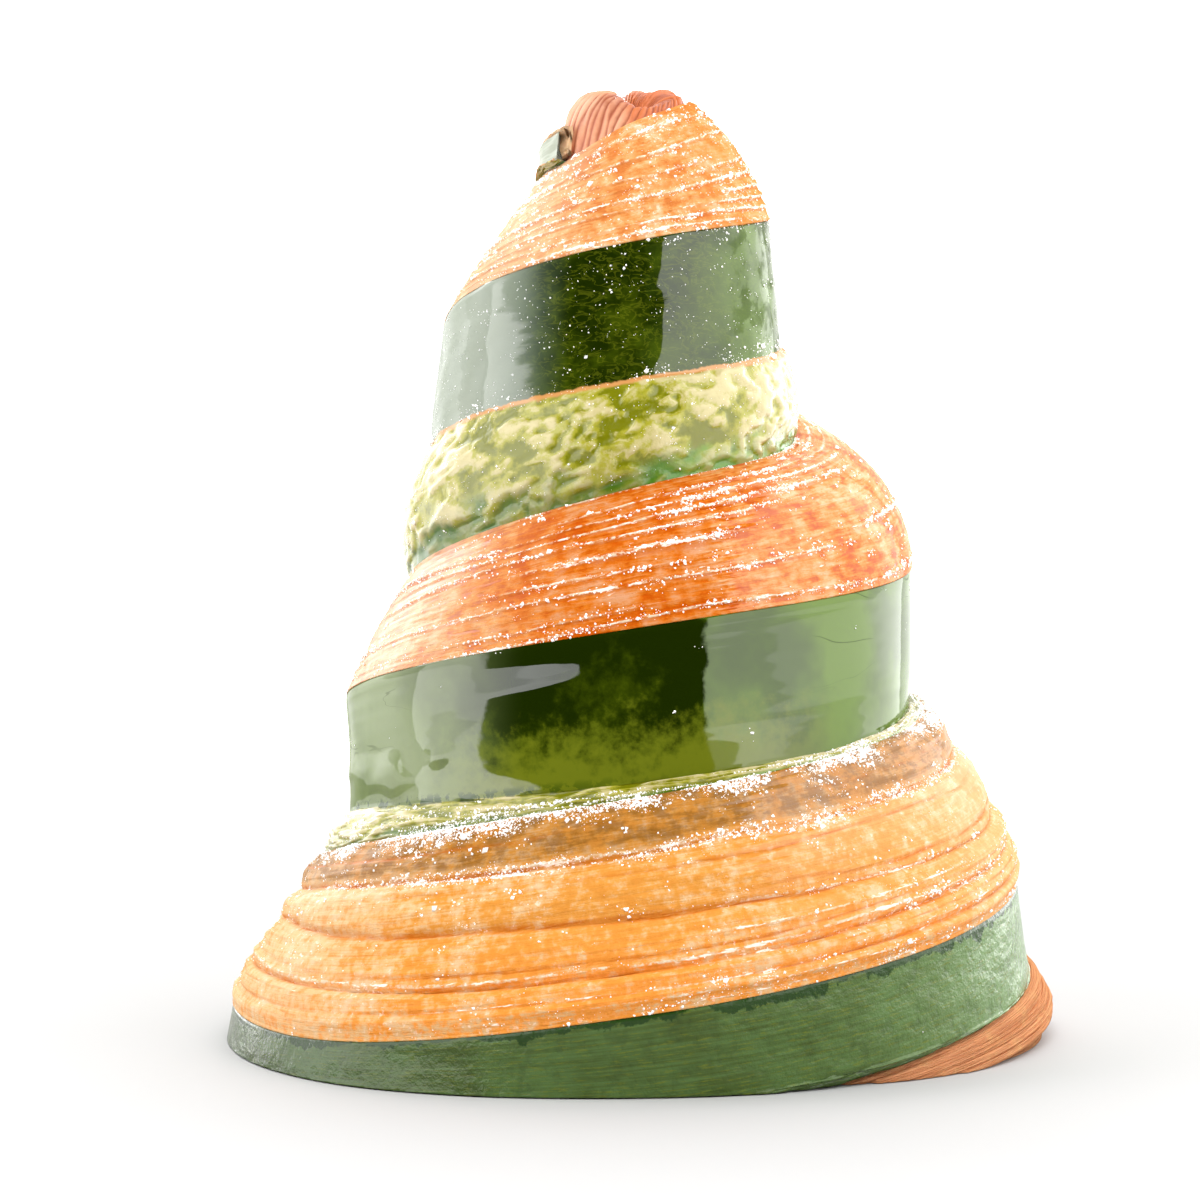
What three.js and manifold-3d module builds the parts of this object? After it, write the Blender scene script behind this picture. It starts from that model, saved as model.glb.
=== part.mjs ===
// Christmas tree pastry: one strip of laminated dough with a green outer face, wound down a cone from a
// curled tip to a spread foot. The plain dough is one solid, and the green face is a second one that lies
// in a groove of the first and runs on under the turn below it.
// Millimetres, +Z up. The foot stands on z = 0 and the middle of the pastry's box is over the origin.

import * as THREE from "three";
import { mergeVertices } from "three/addons/utils/BufferGeometryUtils.js";
import Module from "manifold-3d";

const wasm = await Module();
wasm.setup();

// Facets.
const STEPS_PER_TURN = 36;
const STEPS_PER_LAYER = 3;
const FACE_STEPS = 3;
const PALE_STEPS = 3;

// The strip, measured along its winding. Turn 1 is the first right-hand side (+X) below the tip, and the
// strip goes on down over the front (-Y), the left and the back. Each station gives the radius and the height
// of three long edges: the crust's inner edge, the green face's top and the green face's foot. Heights below 0
// are cut off by the table. round is the crust's section: 0 is a straight slope, 1 a quarter of an ellipse.
const STATIONS = [
  { turn: 0.4, crust: [9.6, 107.2], top: [10.9, 106.9], foot: [11.3, 103.6], round: 0.4 },
  { turn: 1.0, crust: [6.4, 111.2], top: [15.6, 97.2], foot: [16.8, 82.2], round: 0.4 },
  { turn: 1.25, crust: [8.2, 107.6], top: [19.1, 92.1], foot: [20.8, 76.3], round: 0.2 },
  { turn: 1.42, crust: [10.2, 103.0], top: [21.9, 87.4], foot: [23.7, 72.0], round: 0.1 },
  { turn: 1.5, crust: [11.2, 102.2], top: [23.3, 84.5], foot: [25.0, 69.0], round: 0.1 },
  { turn: 2.0, crust: [18.3, 72.2], top: [32.5, 56.5], foot: [31.9, 39.6], round: 0.9 },
  { turn: 2.25, crust: [23.0, 64.1], top: [33.4, 48.5], foot: [32.8, 31.9], round: 0.5 },
  { turn: 2.5, crust: [27.3, 54.2], top: [35.0, 39.8], foot: [34.4, 25.9], round: 0.1 },
  { turn: 3.0, crust: [33.6, 39.3], top: [44.7, 19.9], foot: [46.3, 8.5], round: 0.2 },
  { turn: 3.25, crust: [35.2, 30.4], top: [46.0, 8.7], foot: [44.8, -1.0], round: 0.3 },
  { turn: 3.375, crust: [36.2, 25.5], top: [48.2, 4.2], foot: [50.2, -2.0], round: 0.15 },
  { turn: 3.5, crust: [37.3, 20.9], top: [48.2, 4.4], foot: [49.2, -4.0], round: 0.0 },
  { turn: 4.0, crust: [46.2, 8.2], top: [49.4, 3.0], foot: [48.5, -8.0], round: 0.6 },
  { turn: 4.2, crust: [42.0, -1.5], top: [43.0, -4.0], foot: [42.5, -10.0], round: 0.5 },
];
const BURIED = { radius: 42, height: -12 }; // where the last turn ends, well under the table
const STRIP_OPENS = 0.06; // turns over which the strip's free end grows from a wedge to its full section

// The hollow inside the tip: a round floor, off to the left, that rises a little towards its rim.
const HOLLOW = { x: -2.0, y: -0.5, radius: 6.8, rimHeight: 104, floorHeight: 103.5 };

// The crust: the strip's cut edge, a shoulder of five baked layers that are thicker near the foot.
const LAYER_ENDS_ABOVE = [0, 0.2, 0.4, 0.6, 0.8, 1];
const LAYER_ENDS_AT_FOOT = [0, 0.28, 0.56, 0.78, 0.9, 1];
const LAYER_BULGE_ABOVE = 0.45;
const LAYER_BULGE_AT_FOOT = 1.3;
const SLOPE_STEP = 0.01; // share of the crust over which its slope is taken
const FOOT_BEGINS = 2.4; // turn where the layers start to thicken
const FOOT_FULL = 3.0;

// The green face, and the paler band of it that the turn below has slid off.
const GREEN_THICK = 1.8;
const GAP = 0.3;
const GREEN_START = 0.48;
const GREEN_END = 3.7;
const GREEN_TAPER = 0.12; // turns over which it thickens at either end
const WAIST = 0.9; // hollow of the face on the middle turn
const WAIST_TURN = 2.25;
const WAIST_SPREAD = 0.55;
const LEDGE = 0.6; // step from the dark face out to the pale band
const LEDGE_SHARE = 0.08; // of the pale band's height
const PALE_BULGE = 1.25;
const PALE_BULGE_SWING = 0.3; // share by which it is less on the right and more on the left
const PALE_FULL = 10; // a pale band this tall has its full bulge
const PALE_LEAST = 0.4;
const TUCK = 3; // how far the green runs on under the next turn
const GREEN_CLEAR_OF_TABLE = 0.3;
const CUTTER_SIDE = 400; // larger than the pastry all round

// The curl at the tip: the strip's first end, rolled up on itself as a low pleated wall. Lists give a value at
// its start behind the tip, two fifths of the way round on the left, and at its inner end.
const CURL_STEPS = 54;
const CURL_FROM = 20; // degrees round from +X, towards the back
const CURL_TO = 290;
const CURL_SHARES = [0, 0.4, 1];
const CURL_RADIUS = [6.0, 6.5, 3.3];
const CURL_WALL = [0.9, 2.3, 1.4]; // half the wall's thickness
const CURL_TOP = [111.4, 112.9, 109.5];
const CURL_BOTTOM = 101;
const CURL_LEAN = 0.2; // mm inwards for each mm up
const CURL_PLEATS = 13;
const CURL_PLEAT_DEPTH = 0.28;
const CURL_ROUND_STEPS = 4;

const stationValues = STATIONS.map((s) => [...s.crust, ...s.top, ...s.foot, s.round]);
const stationCurve = new THREE.CubicInterpolant(
  STATIONS.map((s) => s.turn),
  stationValues.flat(),
  stationValues[0].length,
  new Float64Array(stationValues[0].length),
);
const STRIP_START = STATIONS[0].turn;
const STRIP_END = STATIONS[STATIONS.length - 1].turn;
const smooth = THREE.MathUtils.smoothstep;
const lerp = THREE.MathUtils.lerp;

// The strip's three edges at a turn, as points whose x is the radius and y the height, and its roundness.
function edgesAt(turn) {
  const [crustR, crustZ, topR, topZ, footR, footZ, round] = stationCurve.evaluate(turn);
  return {
    crust: new THREE.Vector2(crustR, crustZ),
    top: new THREE.Vector2(topR, topZ),
    foot: new THREE.Vector2(footR, footZ),
    round,
  };
}

// The inner edge of the next turn down, which the green face meets.
function junctionAt(turn) {
  if (turn + 1 <= STRIP_END) return edgesAt(turn + 1).crust;
  return new THREE.Vector2(BURIED.radius, BURIED.height);
}

// A point of the shoulder, between a straight slope and a quarter ellipse, for v from 0 to 1.
function shoulderPoint(edges, v) {
  const out = lerp(v, Math.sin((Math.PI / 2) * v), edges.round);
  const down = lerp(v, 1 - Math.cos((Math.PI / 2) * v), edges.round);
  return new THREE.Vector2(lerp(edges.crust.x, edges.top.x, out), lerp(edges.crust.y, edges.top.y, down));
}

// The crust's outline at a turn: the shoulder with each baked layer bulging off it.
function crustOutline(edges, turn) {
  const atFoot = smooth(turn, FOOT_BEGINS, FOOT_FULL);
  const bulge = lerp(LAYER_BULGE_ABOVE, LAYER_BULGE_AT_FOOT, atFoot);
  const ends = LAYER_ENDS_ABOVE.map((end, k) => lerp(end, LAYER_ENDS_AT_FOOT[k], atFoot));
  const outline = [];
  for (let k = 0; k + 1 < ends.length; k++) {
    for (let step = 0; step < STEPS_PER_LAYER; step++) {
      const share = step / STEPS_PER_LAYER;
      const v = lerp(ends[k], ends[k + 1], share);
      const before = shoulderPoint(edges, Math.max(0, v - SLOPE_STEP));
      const along = shoulderPoint(edges, Math.min(1, v + SLOPE_STEP)).sub(before).normalize();
      const off = bulge * Math.sin(Math.PI * share);
      const outwards = new THREE.Vector2(-along.y, along.x);
      outline.push(shoulderPoint(edges, v).addScaledVector(outwards, off));
    }
  }
  outline.push(edges.top.clone());
  return outline;
}

// The green face's outer line at a turn: the dark face, a ledge, the pale band, and the part tucked under
// the next turn.
function greenOutline(edges, turn) {
  const meet = junctionAt(turn);
  meet.x -= GAP;
  const foot = new THREE.Vector2(edges.foot.x, Math.max(edges.foot.y, meet.y + PALE_LEAST));
  const paleShare = smooth(foot.y - meet.y, 0, PALE_FULL);
  const paleBulge = PALE_BULGE * (1 - PALE_BULGE_SWING * Math.cos(2 * Math.PI * turn)) * paleShare;
  const waist = WAIST * Math.exp(-(((turn - WAIST_TURN) / WAIST_SPREAD) ** 2));
  const outline = [];
  for (let step = 0; step <= FACE_STEPS; step++) {
    const w = step / FACE_STEPS;
    const radius = lerp(edges.top.x, foot.x, w * (2 - w)) - waist * Math.sin(Math.PI * w);
    outline.push(new THREE.Vector2(radius, lerp(edges.top.y, foot.y, w)));
  }
  const ledge = new THREE.Vector2(foot.x + LEDGE * paleShare, lerp(foot.y, meet.y, LEDGE_SHARE));
  for (let step = 0; step < PALE_STEPS; step++) {
    const w = step / PALE_STEPS;
    const radius = lerp(ledge.x, meet.x, w) + paleBulge * Math.sin(Math.PI * w);
    outline.push(new THREE.Vector2(radius, lerp(ledge.y, meet.y, w)));
  }
  outline.push(meet);
  outline.push(new THREE.Vector2(meet.x, meet.y - TUCK));
  return outline;
}

// How thick the green face is: full along the strip, and tapering to nothing at its ends.
function greenThickness(turn) {
  const opens = smooth(turn, GREEN_START - GREEN_TAPER / 2, GREEN_START + GREEN_TAPER);
  const closes = 1 - smooth(turn, GREEN_END - GREEN_TAPER, GREEN_END + GREEN_TAPER / 2);
  return GREEN_THICK * opens * closes;
}

// An outline moved square to itself: inwards for a positive depth.
function movedInwards(outline, depth) {
  return outline.map((point, k) => {
    const before = outline[Math.max(0, k - 1)];
    const after = outline[Math.min(outline.length - 1, k + 1)];
    const along = after.clone().sub(before).normalize();
    return point.clone().addScaledVector(new THREE.Vector2(along.y, -along.x), depth);
  });
}

// The plain dough's outline at a turn: the crust, then the groove's floor and its lip under the next turn.
// At the strip's free end the groove closes up to a straight line.
function doughOutline(turn) {
  const edges = edgesAt(turn);
  const depth = greenThickness(turn) + GAP;
  const face = greenOutline(edges, turn);
  const floor = movedInwards(face, depth);
  const tuckEnd = face[face.length - 1];
  floor[floor.length - 1] = new THREE.Vector2(tuckEnd.x - depth, tuckEnd.y - GAP);
  const lip = new THREE.Vector2(tuckEnd.x + GAP / 2, tuckEnd.y - GAP);
  const groove = [...floor, lip];
  const closed = 1 - smooth(turn, STRIP_START, STRIP_START + STRIP_OPENS);
  groove.forEach((point, k) => {
    const straight = edges.top.clone().lerp(junctionAt(turn), (k + 1) / (groove.length + 1));
    point.lerp(straight, closed);
  });
  return [...crustOutline(edges, turn), ...groove];
}

// A point of an outline, stood up at its turn: the strip winds clockwise, seen from above, as it goes down.
function stoodUp(point, turn) {
  const angle = -2 * Math.PI * turn;
  return [point.x * Math.cos(angle), point.x * Math.sin(angle), point.y];
}

function solidFrom(points, triangles) {
  return new wasm.Manifold(
    new wasm.Mesh({
      numProp: 3,
      vertProperties: new Float32Array(points.flat()),
      triVerts: new Uint32Array(triangles.flat()),
    }),
  );
}

function solidOfGeometry(geometry) {
  geometry.deleteAttribute("normal");
  geometry.deleteAttribute("uv");
  const merged = mergeVertices(geometry);
  return new wasm.Manifold(
    new wasm.Mesh({
      numProp: 3,
      vertProperties: merged.attributes.position.array,
      triVerts: new Uint32Array(merged.index.array),
    }),
  );
}

// A solid swept through rings of points that all have the same count, closed by a ladder of facets at either
// end. Ring point k lies across from ring point count - 1 - k.
function sweptSolid(rings) {
  const count = rings[0].length;
  const triangles = [];
  for (let i = 0; i + 1 < rings.length; i++) {
    for (let k = 0; k < count; k++) {
      const next = (k + 1) % count;
      const [a, b] = [i * count + k, (i + 1) * count + k];
      const [c, d] = [(i + 1) * count + next, i * count + next];
      triangles.push([a, b, c], [a, c, d]);
    }
  }
  const last = (rings.length - 1) * count;
  for (let k = 0; k + 1 < count / 2; k++) {
    const across = count - 1 - k;
    triangles.push([k, k + 1, across - 1], [k, across - 1, across]);
    triangles.push([last + k, last + across - 1, last + k + 1]);
    triangles.push([last + k, last + across, last + across - 1]);
  }
  return solidFrom(rings.flat(), triangles);
}

// The wound dough as one closed surface: each turn's last point is the first point of the turn below it.
function woundDough() {
  const lastRow = Math.round((STRIP_END - STRIP_START) * STEPS_PER_TURN);
  const turnOf = (row) => STRIP_START + row / STEPS_PER_TURN;
  const rows = Array.from({ length: lastRow + 1 }, (_, row) => doughOutline(turnOf(row)));
  const perRow = rows[0].length;
  const points = rows.flatMap((outline, row) => outline.map((point) => stoodUp(point, turnOf(row))));
  const firstBuried = lastRow - STEPS_PER_TURN + 1;
  const buriedAt = points.length - firstBuried;
  for (let row = firstBuried; row <= lastRow; row++)
    points.push(stoodUp(new THREE.Vector2(BURIED.radius, BURIED.height), turnOf(row)));
  const hollowAt = points.length;
  for (let row = 0; row < STEPS_PER_TURN; row++) {
    const angle = -2 * Math.PI * turnOf(row);
    const [x, y] = [HOLLOW.x + HOLLOW.radius * Math.cos(angle), HOLLOW.y + HOLLOW.radius * Math.sin(angle)];
    points.push([x, y, HOLLOW.rimHeight]);
  }
  const hollowRim = (row) => hollowAt + (row % STEPS_PER_TURN);
  const hollowFloor = points.push([HOLLOW.x, HOLLOW.y, HOLLOW.floorHeight]) - 1;
  const underside = points.push([0, 0, BURIED.height]) - 1;
  const index = (row, k) => {
    if (k < perRow) return row * perRow + k;
    return row < firstBuried ? (row + STEPS_PER_TURN) * perRow : buriedAt + row;
  };
  const triangles = [];
  for (let row = 0; row < lastRow; row++) {
    for (let k = 0; k < perRow; k++) {
      const [a, b] = [index(row, k), index(row + 1, k)];
      const [c, d] = [index(row + 1, k + 1), index(row, k + 1)];
      triangles.push([a, b, c], [a, c, d]);
    }
  }
  for (let row = 0; row < STEPS_PER_TURN; row++) {
    const [a, b] = [index(row + 1, 0), index(row, 0)];
    const [c, d] = [hollowRim(row), hollowRim(row + 1)];
    triangles.push([a, b, c], [a, c, d], [hollowFloor, d, c]);
  }
  for (let row = firstBuried - 1; row < lastRow; row++)
    triangles.push([underside, index(row, perRow), index(row + 1, perRow)]);
  for (let k = 0; k < perRow; k++) {
    triangles.push([hollowRim(0), index(0, k), index(0, k + 1)]);
    triangles.push([underside, index(lastRow, k + 1), index(lastRow, k)]);
  }
  return solidFrom(points, triangles);
}

// A value that runs through three others along the curl.
function throughThree([start, middle, end], share) {
  const curve = new THREE.CubicInterpolant(CURL_SHARES, [start, middle, end], 1, new Float64Array(1));
  return curve.evaluate(share)[0];
}

// The curl: a round-topped wall, pleated across its length, that winds in on itself.
function tipCurl() {
  const rings = [];
  for (let step = 0; step <= CURL_STEPS; step++) {
    const share = step / CURL_STEPS;
    const angle = THREE.MathUtils.degToRad(lerp(CURL_FROM, CURL_TO, share));
    const pleat = CURL_PLEAT_DEPTH * Math.cos(2 * Math.PI * CURL_PLEATS * share);
    const wall = throughThree(CURL_WALL, share) + pleat;
    const middle = throughThree(CURL_RADIUS, share);
    const top = throughThree(CURL_TOP, share) - wall + pleat;
    const section = [new THREE.Vector2(wall, CURL_BOTTOM)];
    for (let k = 0; k <= CURL_ROUND_STEPS; k++) {
      const bend = (Math.PI * k) / CURL_ROUND_STEPS;
      section.push(new THREE.Vector2(wall * Math.cos(bend), top + wall * Math.sin(bend)));
    }
    section.push(new THREE.Vector2(-wall, CURL_BOTTOM));
    rings.push(
      section.map((point) => {
        const radius = middle + point.x - CURL_LEAN * (point.y - top);
        return [radius * Math.cos(angle), radius * Math.sin(angle), point.y];
      }),
    );
  }
  return sweptSolid(rings);
}

// The green face: its outer line and the same line moved inwards, swept down the strip.
function greenFace() {
  const rows = Math.round((GREEN_END - GREEN_START) * STEPS_PER_TURN);
  const rings = [];
  for (let row = 0; row <= rows; row++) {
    const turn = GREEN_START + row / STEPS_PER_TURN;
    const outer = greenOutline(edgesAt(turn), turn);
    outer[0].y -= GAP;
    const thick = greenThickness(turn);
    const inner = movedInwards(outer, thick);
    const tuckEnd = outer[outer.length - 1];
    inner[inner.length - 1] = new THREE.Vector2(tuckEnd.x - thick, tuckEnd.y);
    inner[0].y = outer[0].y;
    rings.push([...outer, ...inner.reverse()].map((point) => stoodUp(point, turn)));
  }
  return sweptSolid(rings);
}

// Everything below a height, as one large block.
function blockBelow(height) {
  const block = new THREE.BoxGeometry(CUTTER_SIDE, CUTTER_SIDE, CUTTER_SIDE);
  block.translate(0, 0, height - CUTTER_SIDE / 2);
  return solidOfGeometry(block);
}

function meshOf(name, solid, material) {
  const { vertProperties, triVerts } = solid.getMesh();
  const geometry = new THREE.BufferGeometry();
  geometry.setAttribute("position", new THREE.BufferAttribute(vertProperties, 3));
  geometry.setIndex(new THREE.BufferAttribute(triVerts, 1));
  geometry.computeVertexNormals();
  const mesh = new THREE.Mesh(geometry, material);
  mesh.name = name;
  return mesh;
}

const crustFinish = new THREE.MeshStandardMaterial({ color: 0xdf9148, roughness: 0.4, metalness: 0 });
const greenFinish = new THREE.MeshStandardMaterial({ color: 0x3d5c22, roughness: 0.15, metalness: 0 });

const plainDough = woundDough().add(tipCurl()).subtract(blockBelow(0));
const greenDough = greenFace().subtract(blockBelow(GREEN_CLEAR_OF_TABLE));

const pastry = new THREE.Group();
pastry.add(meshOf("plain_dough", plainDough, crustFinish));
pastry.add(meshOf("green_dough", greenDough, greenFinish));

// The middle of the box goes over the origin.
const middle = new THREE.Box3().setFromObject(pastry).getCenter(new THREE.Vector3());
pastry.children.forEach((mesh) => mesh.position.set(-middle.x, -middle.y, 0));

export default pastry;
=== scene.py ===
"""Christmas tree pastry: the looks of a strip of laminated dough with a green glazed face, wound down a cone.

Laid out as an add-on and run as a script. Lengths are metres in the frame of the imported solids. The strip is
followed by its turn: turn 1 is the first right-hand side (+X) below the tip, and the strip goes on down over
the front (-Y), the left and the back. Its surfaces are functions of the turn and of a place across it.
"""

from types import SimpleNamespace

import bpy
import numpy as np
from bpy.props import FloatProperty, FloatVectorProperty, IntProperty, PointerProperty
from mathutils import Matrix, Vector


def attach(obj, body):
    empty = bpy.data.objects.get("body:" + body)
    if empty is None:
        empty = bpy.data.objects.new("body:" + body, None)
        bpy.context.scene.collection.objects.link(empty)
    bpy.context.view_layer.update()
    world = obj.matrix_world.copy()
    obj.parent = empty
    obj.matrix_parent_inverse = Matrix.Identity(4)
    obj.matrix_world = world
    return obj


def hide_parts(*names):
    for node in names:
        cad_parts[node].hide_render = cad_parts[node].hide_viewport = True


bl_info = {
    "name": "Christmas tree pastry",
    "version": (1, 0, 0),
    "blender": (4, 5, 0),
    "location": "View3D > Sidebar > Pastry",
    "description": "Builds a green-faced laminated pastry in the shape of a fir tree around its packed solids",
    "category": "Object",
}

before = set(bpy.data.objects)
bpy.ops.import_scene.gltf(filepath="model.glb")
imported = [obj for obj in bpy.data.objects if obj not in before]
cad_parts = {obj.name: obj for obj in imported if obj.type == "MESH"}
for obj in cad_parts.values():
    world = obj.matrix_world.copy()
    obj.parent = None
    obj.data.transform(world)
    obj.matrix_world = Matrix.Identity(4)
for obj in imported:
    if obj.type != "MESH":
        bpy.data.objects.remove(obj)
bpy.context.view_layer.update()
MM = 0.001

# Where the winding's axis stands in the frame.
AXIS = (-0.790 * MM, -1.886 * MM)

# The strip at its stations: radius and height in millimetres of the crust's inner edge, of the green face's top
# and of its foot. Heights under 0 are below the table. round is the crust's section: 0 is a straight slope, 1 a
# quarter of an ellipse.
STATIONS = {
    "turn": (0.4, 1.0, 1.25, 1.42, 1.5, 2.0, 2.25, 2.5, 3.0, 3.25, 3.375, 3.5, 4.0, 4.2),
    "crust_r": (9.6, 6.4, 8.2, 10.2, 11.2, 18.3, 23.0, 27.3, 33.6, 35.2, 36.2, 37.3, 46.2, 42.0),
    "crust_z": (107.2, 111.2, 107.6, 103.0, 102.2, 72.2, 64.1, 54.2, 39.3, 30.4, 25.5, 20.9, 8.2, -1.5),
    "top_r": (10.9, 15.6, 19.1, 21.9, 23.3, 32.5, 33.4, 35.0, 44.7, 46.0, 48.2, 48.2, 49.4, 43.0),
    "top_z": (106.9, 97.2, 92.1, 87.4, 84.5, 56.5, 48.5, 39.8, 19.9, 8.7, 4.2, 4.4, 3.0, -4.0),
    "foot_r": (11.3, 16.8, 20.8, 23.7, 25.0, 32.1, 33.6, 34.6, 46.3, 44.8, 50.2, 49.2, 48.5, 42.5),
    "foot_z": (103.6, 82.2, 76.3, 72.0, 69.0, 39.6, 31.9, 25.9, 8.5, -1.0, -2.0, -4.0, -8.0, -10.0),
    "round": (0.4, 0.4, 0.2, 0.1, 0.1, 0.9, 0.5, 0.1, 0.2, 0.3, 0.15, 0.0, 0.6, 0.5),
}
STRIP_START = STATIONS["turn"][0]
STRIP_END = STATIONS["turn"][-1]
BURIED_R = 42 * MM
BURIED_Z = -12 * MM

# The hollow that the strip's first turn leaves at the tip.
HOLLOW_PLACE = np.array([AXIS[0] - 2.0 * MM, AXIS[1] - 0.5 * MM, 104 * MM])
HOLLOW_R = 6.8 * MM
HOLLOW_DEPTH = 0.5 * MM

# Where the five rolls of dough end across the crust, by turn: even above, wide and then narrow at the foot.
ROLL_TURNS = (STRIP_START, 2.4, 3.0, 3.25, 3.5, STRIP_END)
ROLL_ENDS = (
    (0.20, 0.20, 0.29, 0.31, 0.24, 0.25),
    (0.40, 0.40, 0.64, 0.60, 0.45, 0.50),
    (0.60, 0.60, 0.79, 0.83, 0.72, 0.70),
    (0.80, 0.80, 0.90, 0.91, 0.86, 0.85),
)
FOOT_BEGINS = 2.4
FOOT_FULL = 3.0
# Thin layer edges at the foot, counted in rolls from the crust's inner edge.
FOOT_LINES = (0.10, 0.93, 1.07, 1.96, 2.30, 2.48, 2.66, 2.84, 3.0, 3.35, 3.7, 4.02, 4.4, 4.75)
FOOT_CREASES = (0.5, 1.33, 1.8, 2.36, 2.7, 3.4, 4.25, 4.6)

# Places across the green sheet: its top, its foot, the ledge under it, the next turn's edge and the tucked end.
FACE_TOP, FACE_FOOT, PALE_TOP, PALE_FOOT, TUCK_END = 0.0, 1.0, 1.08, 2.0, 3.0
LEDGE_SHARE = 0.08
GREEN_START = 0.415
GREEN_END = 3.7
GREEN_OPENS = 0.03
GREEN_TAPER = 0.12
WAIST_TURN = 2.25
WAIST_SPREAD = 0.55
PALE_FULL = 10 * MM
PALE_LEAST = 0.4 * MM
PALE_SWING = 0.3
TUCK = 3 * MM

# The curl at the tip by its swing, as a share of a turn from +X over the front: the radius of its base, and the
# radius and height in millimetres of its crest. It is a pleated dome that falls into a small hole.
CURL = {
    "swing": (0.0, 0.125, 0.25, 0.285, 0.325, 0.41, 0.5, 0.625, 0.75, 0.875),
    "base_r": (6.1, 6.8, 7.9, 8.2, 8.7, 9.8, 9.3, 8.3, 7.5, 6.8),
    "crest_r": (5.0, 5.6, 6.4, 5.7, 5.3, 6.0, 6.0, 5.4, 5.0, 4.9),
    "crest_z": (111.9, 110.9, 109.4, 110.3, 111.3, 111.5, 111.6, 112.5, 113.2, 113.0),
}
CURL_BOTTOM = 101 * MM
CURL_HOLE = np.array([-0.9, -2.6, 106.0]) * MM
CURL_HOLE_R = 1.3 * MM
CURL_HOLE_DEPTH = 0.2 * MM
CURL_PLEATS = 58
CURL_PLEAT_RELIEF = 0.75 * MM
CURL_LUMP_RELIEF = 0.1 * MM
CURL_TWIST = 0.055
CURL_ROWS = 480
CURL_COLUMNS = 46

# Grids of the dough, with a few columns behind the green sheet, and of the sheet, with even spans of columns
# outside and a few inside. Where a row meets the floor, its columns go on inwards by an inset each. FOOT_SHARE
# sets the ring under the dough's foot, and TUCK_GAP keeps the sheet's tucked end open.
BACKING_PLACES = (0.012, 0.5, FACE_FOOT, 1.5, PALE_FOOT, PALE_FOOT + 0.5)
BACKING_UV = 0.1
CRUST_INSET = 0.02 * MM
FOOT_SHARE = 0.9
GREEN_SPANS = ((0, 0.1, 8), (0.1, FACE_FOOT, 34), (FACE_FOOT, PALE_TOP, 5), (PALE_TOP, PALE_FOOT, 38))
TUCK_COLUMNS = 4
TUCK_GAP = 0.1 * MM
GREEN_INNER = (TUCK_END, PALE_FOOT, 1.5, FACE_FOOT, 0.5, FACE_TOP)
GREEN_FLOOR = 0.05 * MM
GREEN_INSET = 0.015 * MM

# Spans of turns over which the looks change. Crust: into the foot, to the foot's left, out of the first turn
# and into the dry tail. Green: out of the tab and the first turn, into the satin face, out of the pale band.
CRUST_FOOT = (2.5, 2.95)
CRUST_FOOT_LEFT = (3.27, 3.42)
CRUST_FIRST = (1.5, 1.95)
CRUST_TAIL = (3.74, 3.84)
TAB_ENDS = (0.5, 0.6)
GREEN_FIRST = (1.6, 1.9)
GREEN_SATIN = (2.65, 3.0)
PALE_ENDS = (2.8, 2.95)
# The middle of the green face's dark front, as a share of a turn.
DARK_MIDDLE = 0.28

# How sugar is strewn: tries for each grain, the radius at which every try counts in full, and for each face the
# turns and places across that are tried, the places that grains are kept within, and its usual width.
TRIES = 12
FULL_R = 50 * MM
CRUST_SUGAR = SimpleNamespace(turns=(0.8, STRIP_END), across=(0.0, 1.0), within=(0.005, 0.995), width=20 * MM)
GREEN_SUGAR = SimpleNamespace(turns=(0.7, GREEN_END), across=(0.0, 2.0), within=(0.01, 1.97), width=14 * MM)
# Sugar on the curl: one grain in so many, round a swing and a bend, each with its spread.
CURL_SUGAR = 200
CURL_SUGAR_SWING = (0.315, 0.012)
CURL_SUGAR_BEND = (1.5, 0.08)
LOWEST_SUGAR = 0.3 * MM
OCTAHEDRON = np.array([(1, 0, 0), (0, 1, 0), (-1, 0, 0), (0, -1, 0), (0, 0, 1), (0, 0, -1)], float)
UPPER_FACES = [(0, 1, 4), (1, 2, 4), (2, 3, 4), (3, 0, 4)]
LOWER_FACES = [(1, 0, 5), (2, 1, 5), (3, 2, 5), (0, 3, 5)]
OCTAHEDRON_FACES = np.array(UPPER_FACES + LOWER_FACES)

# The floor's profile in metres: its front end, where it bends up, the bend, and the top of the wall. FLOOR_DROP
# keeps it just under the foot.
FLOOR_FRONT, FLOOR_BACK, FLOOR_BEND_R, WALL_TOP = -0.6, 0.8, 0.5, 1.6
FLOOR_SIDES = (-2.2, 2.2)
FLOOR_BEND_STEPS = 24
FLOOR_DROP = 0.1 * MM
# The studio's lamps: name, place, what it looks at, width and height in metres, the setting that gives its
# power, and whether it is a reflector card, which only shows in gloss.
LAMPS = (
    ("softbox_right", (0.36, -0.185, 0.5), (0.0, -0.185, 0.5), (0.87, 1.0), "right_power", False),
    ("softbox_left", (-0.36, -0.05, 0.3), (0.0, -0.05, 0.3), (0.28, 0.7), "left_power", False),
    ("softbox_fill", (0.0, -0.5, 0.5), (0.0, 0.0, 0.06), (0.3, 0.3), "fill_power", False),
    ("card_right", (0.2, -0.125, 0.275), (0.0, -0.125, 0.275), (0.65, 0.55), "card_right_power", True),
    ("card_left", (-0.2, -0.275, 0.225), (0.0, -0.275, 0.225), (0.55, 0.45), "card_left_power", True),
    ("card_back", (-0.2, 0.25, 0.225), (0.0, 0.25, 0.225), (0.5, 0.45), "card_back_power", True),
    ("softbox_top", (0.0, 0.45, 0.70), (0.0, 0.0, 0.0), (0.7, 0.4), "top_power", False),
)
SENSOR_WIDTH = 36.0

# The step over which a line's slope is taken, and the points along a side of the noise lattice.
SLOPE_STEP = 0.004
LATTICE = 97


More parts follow.
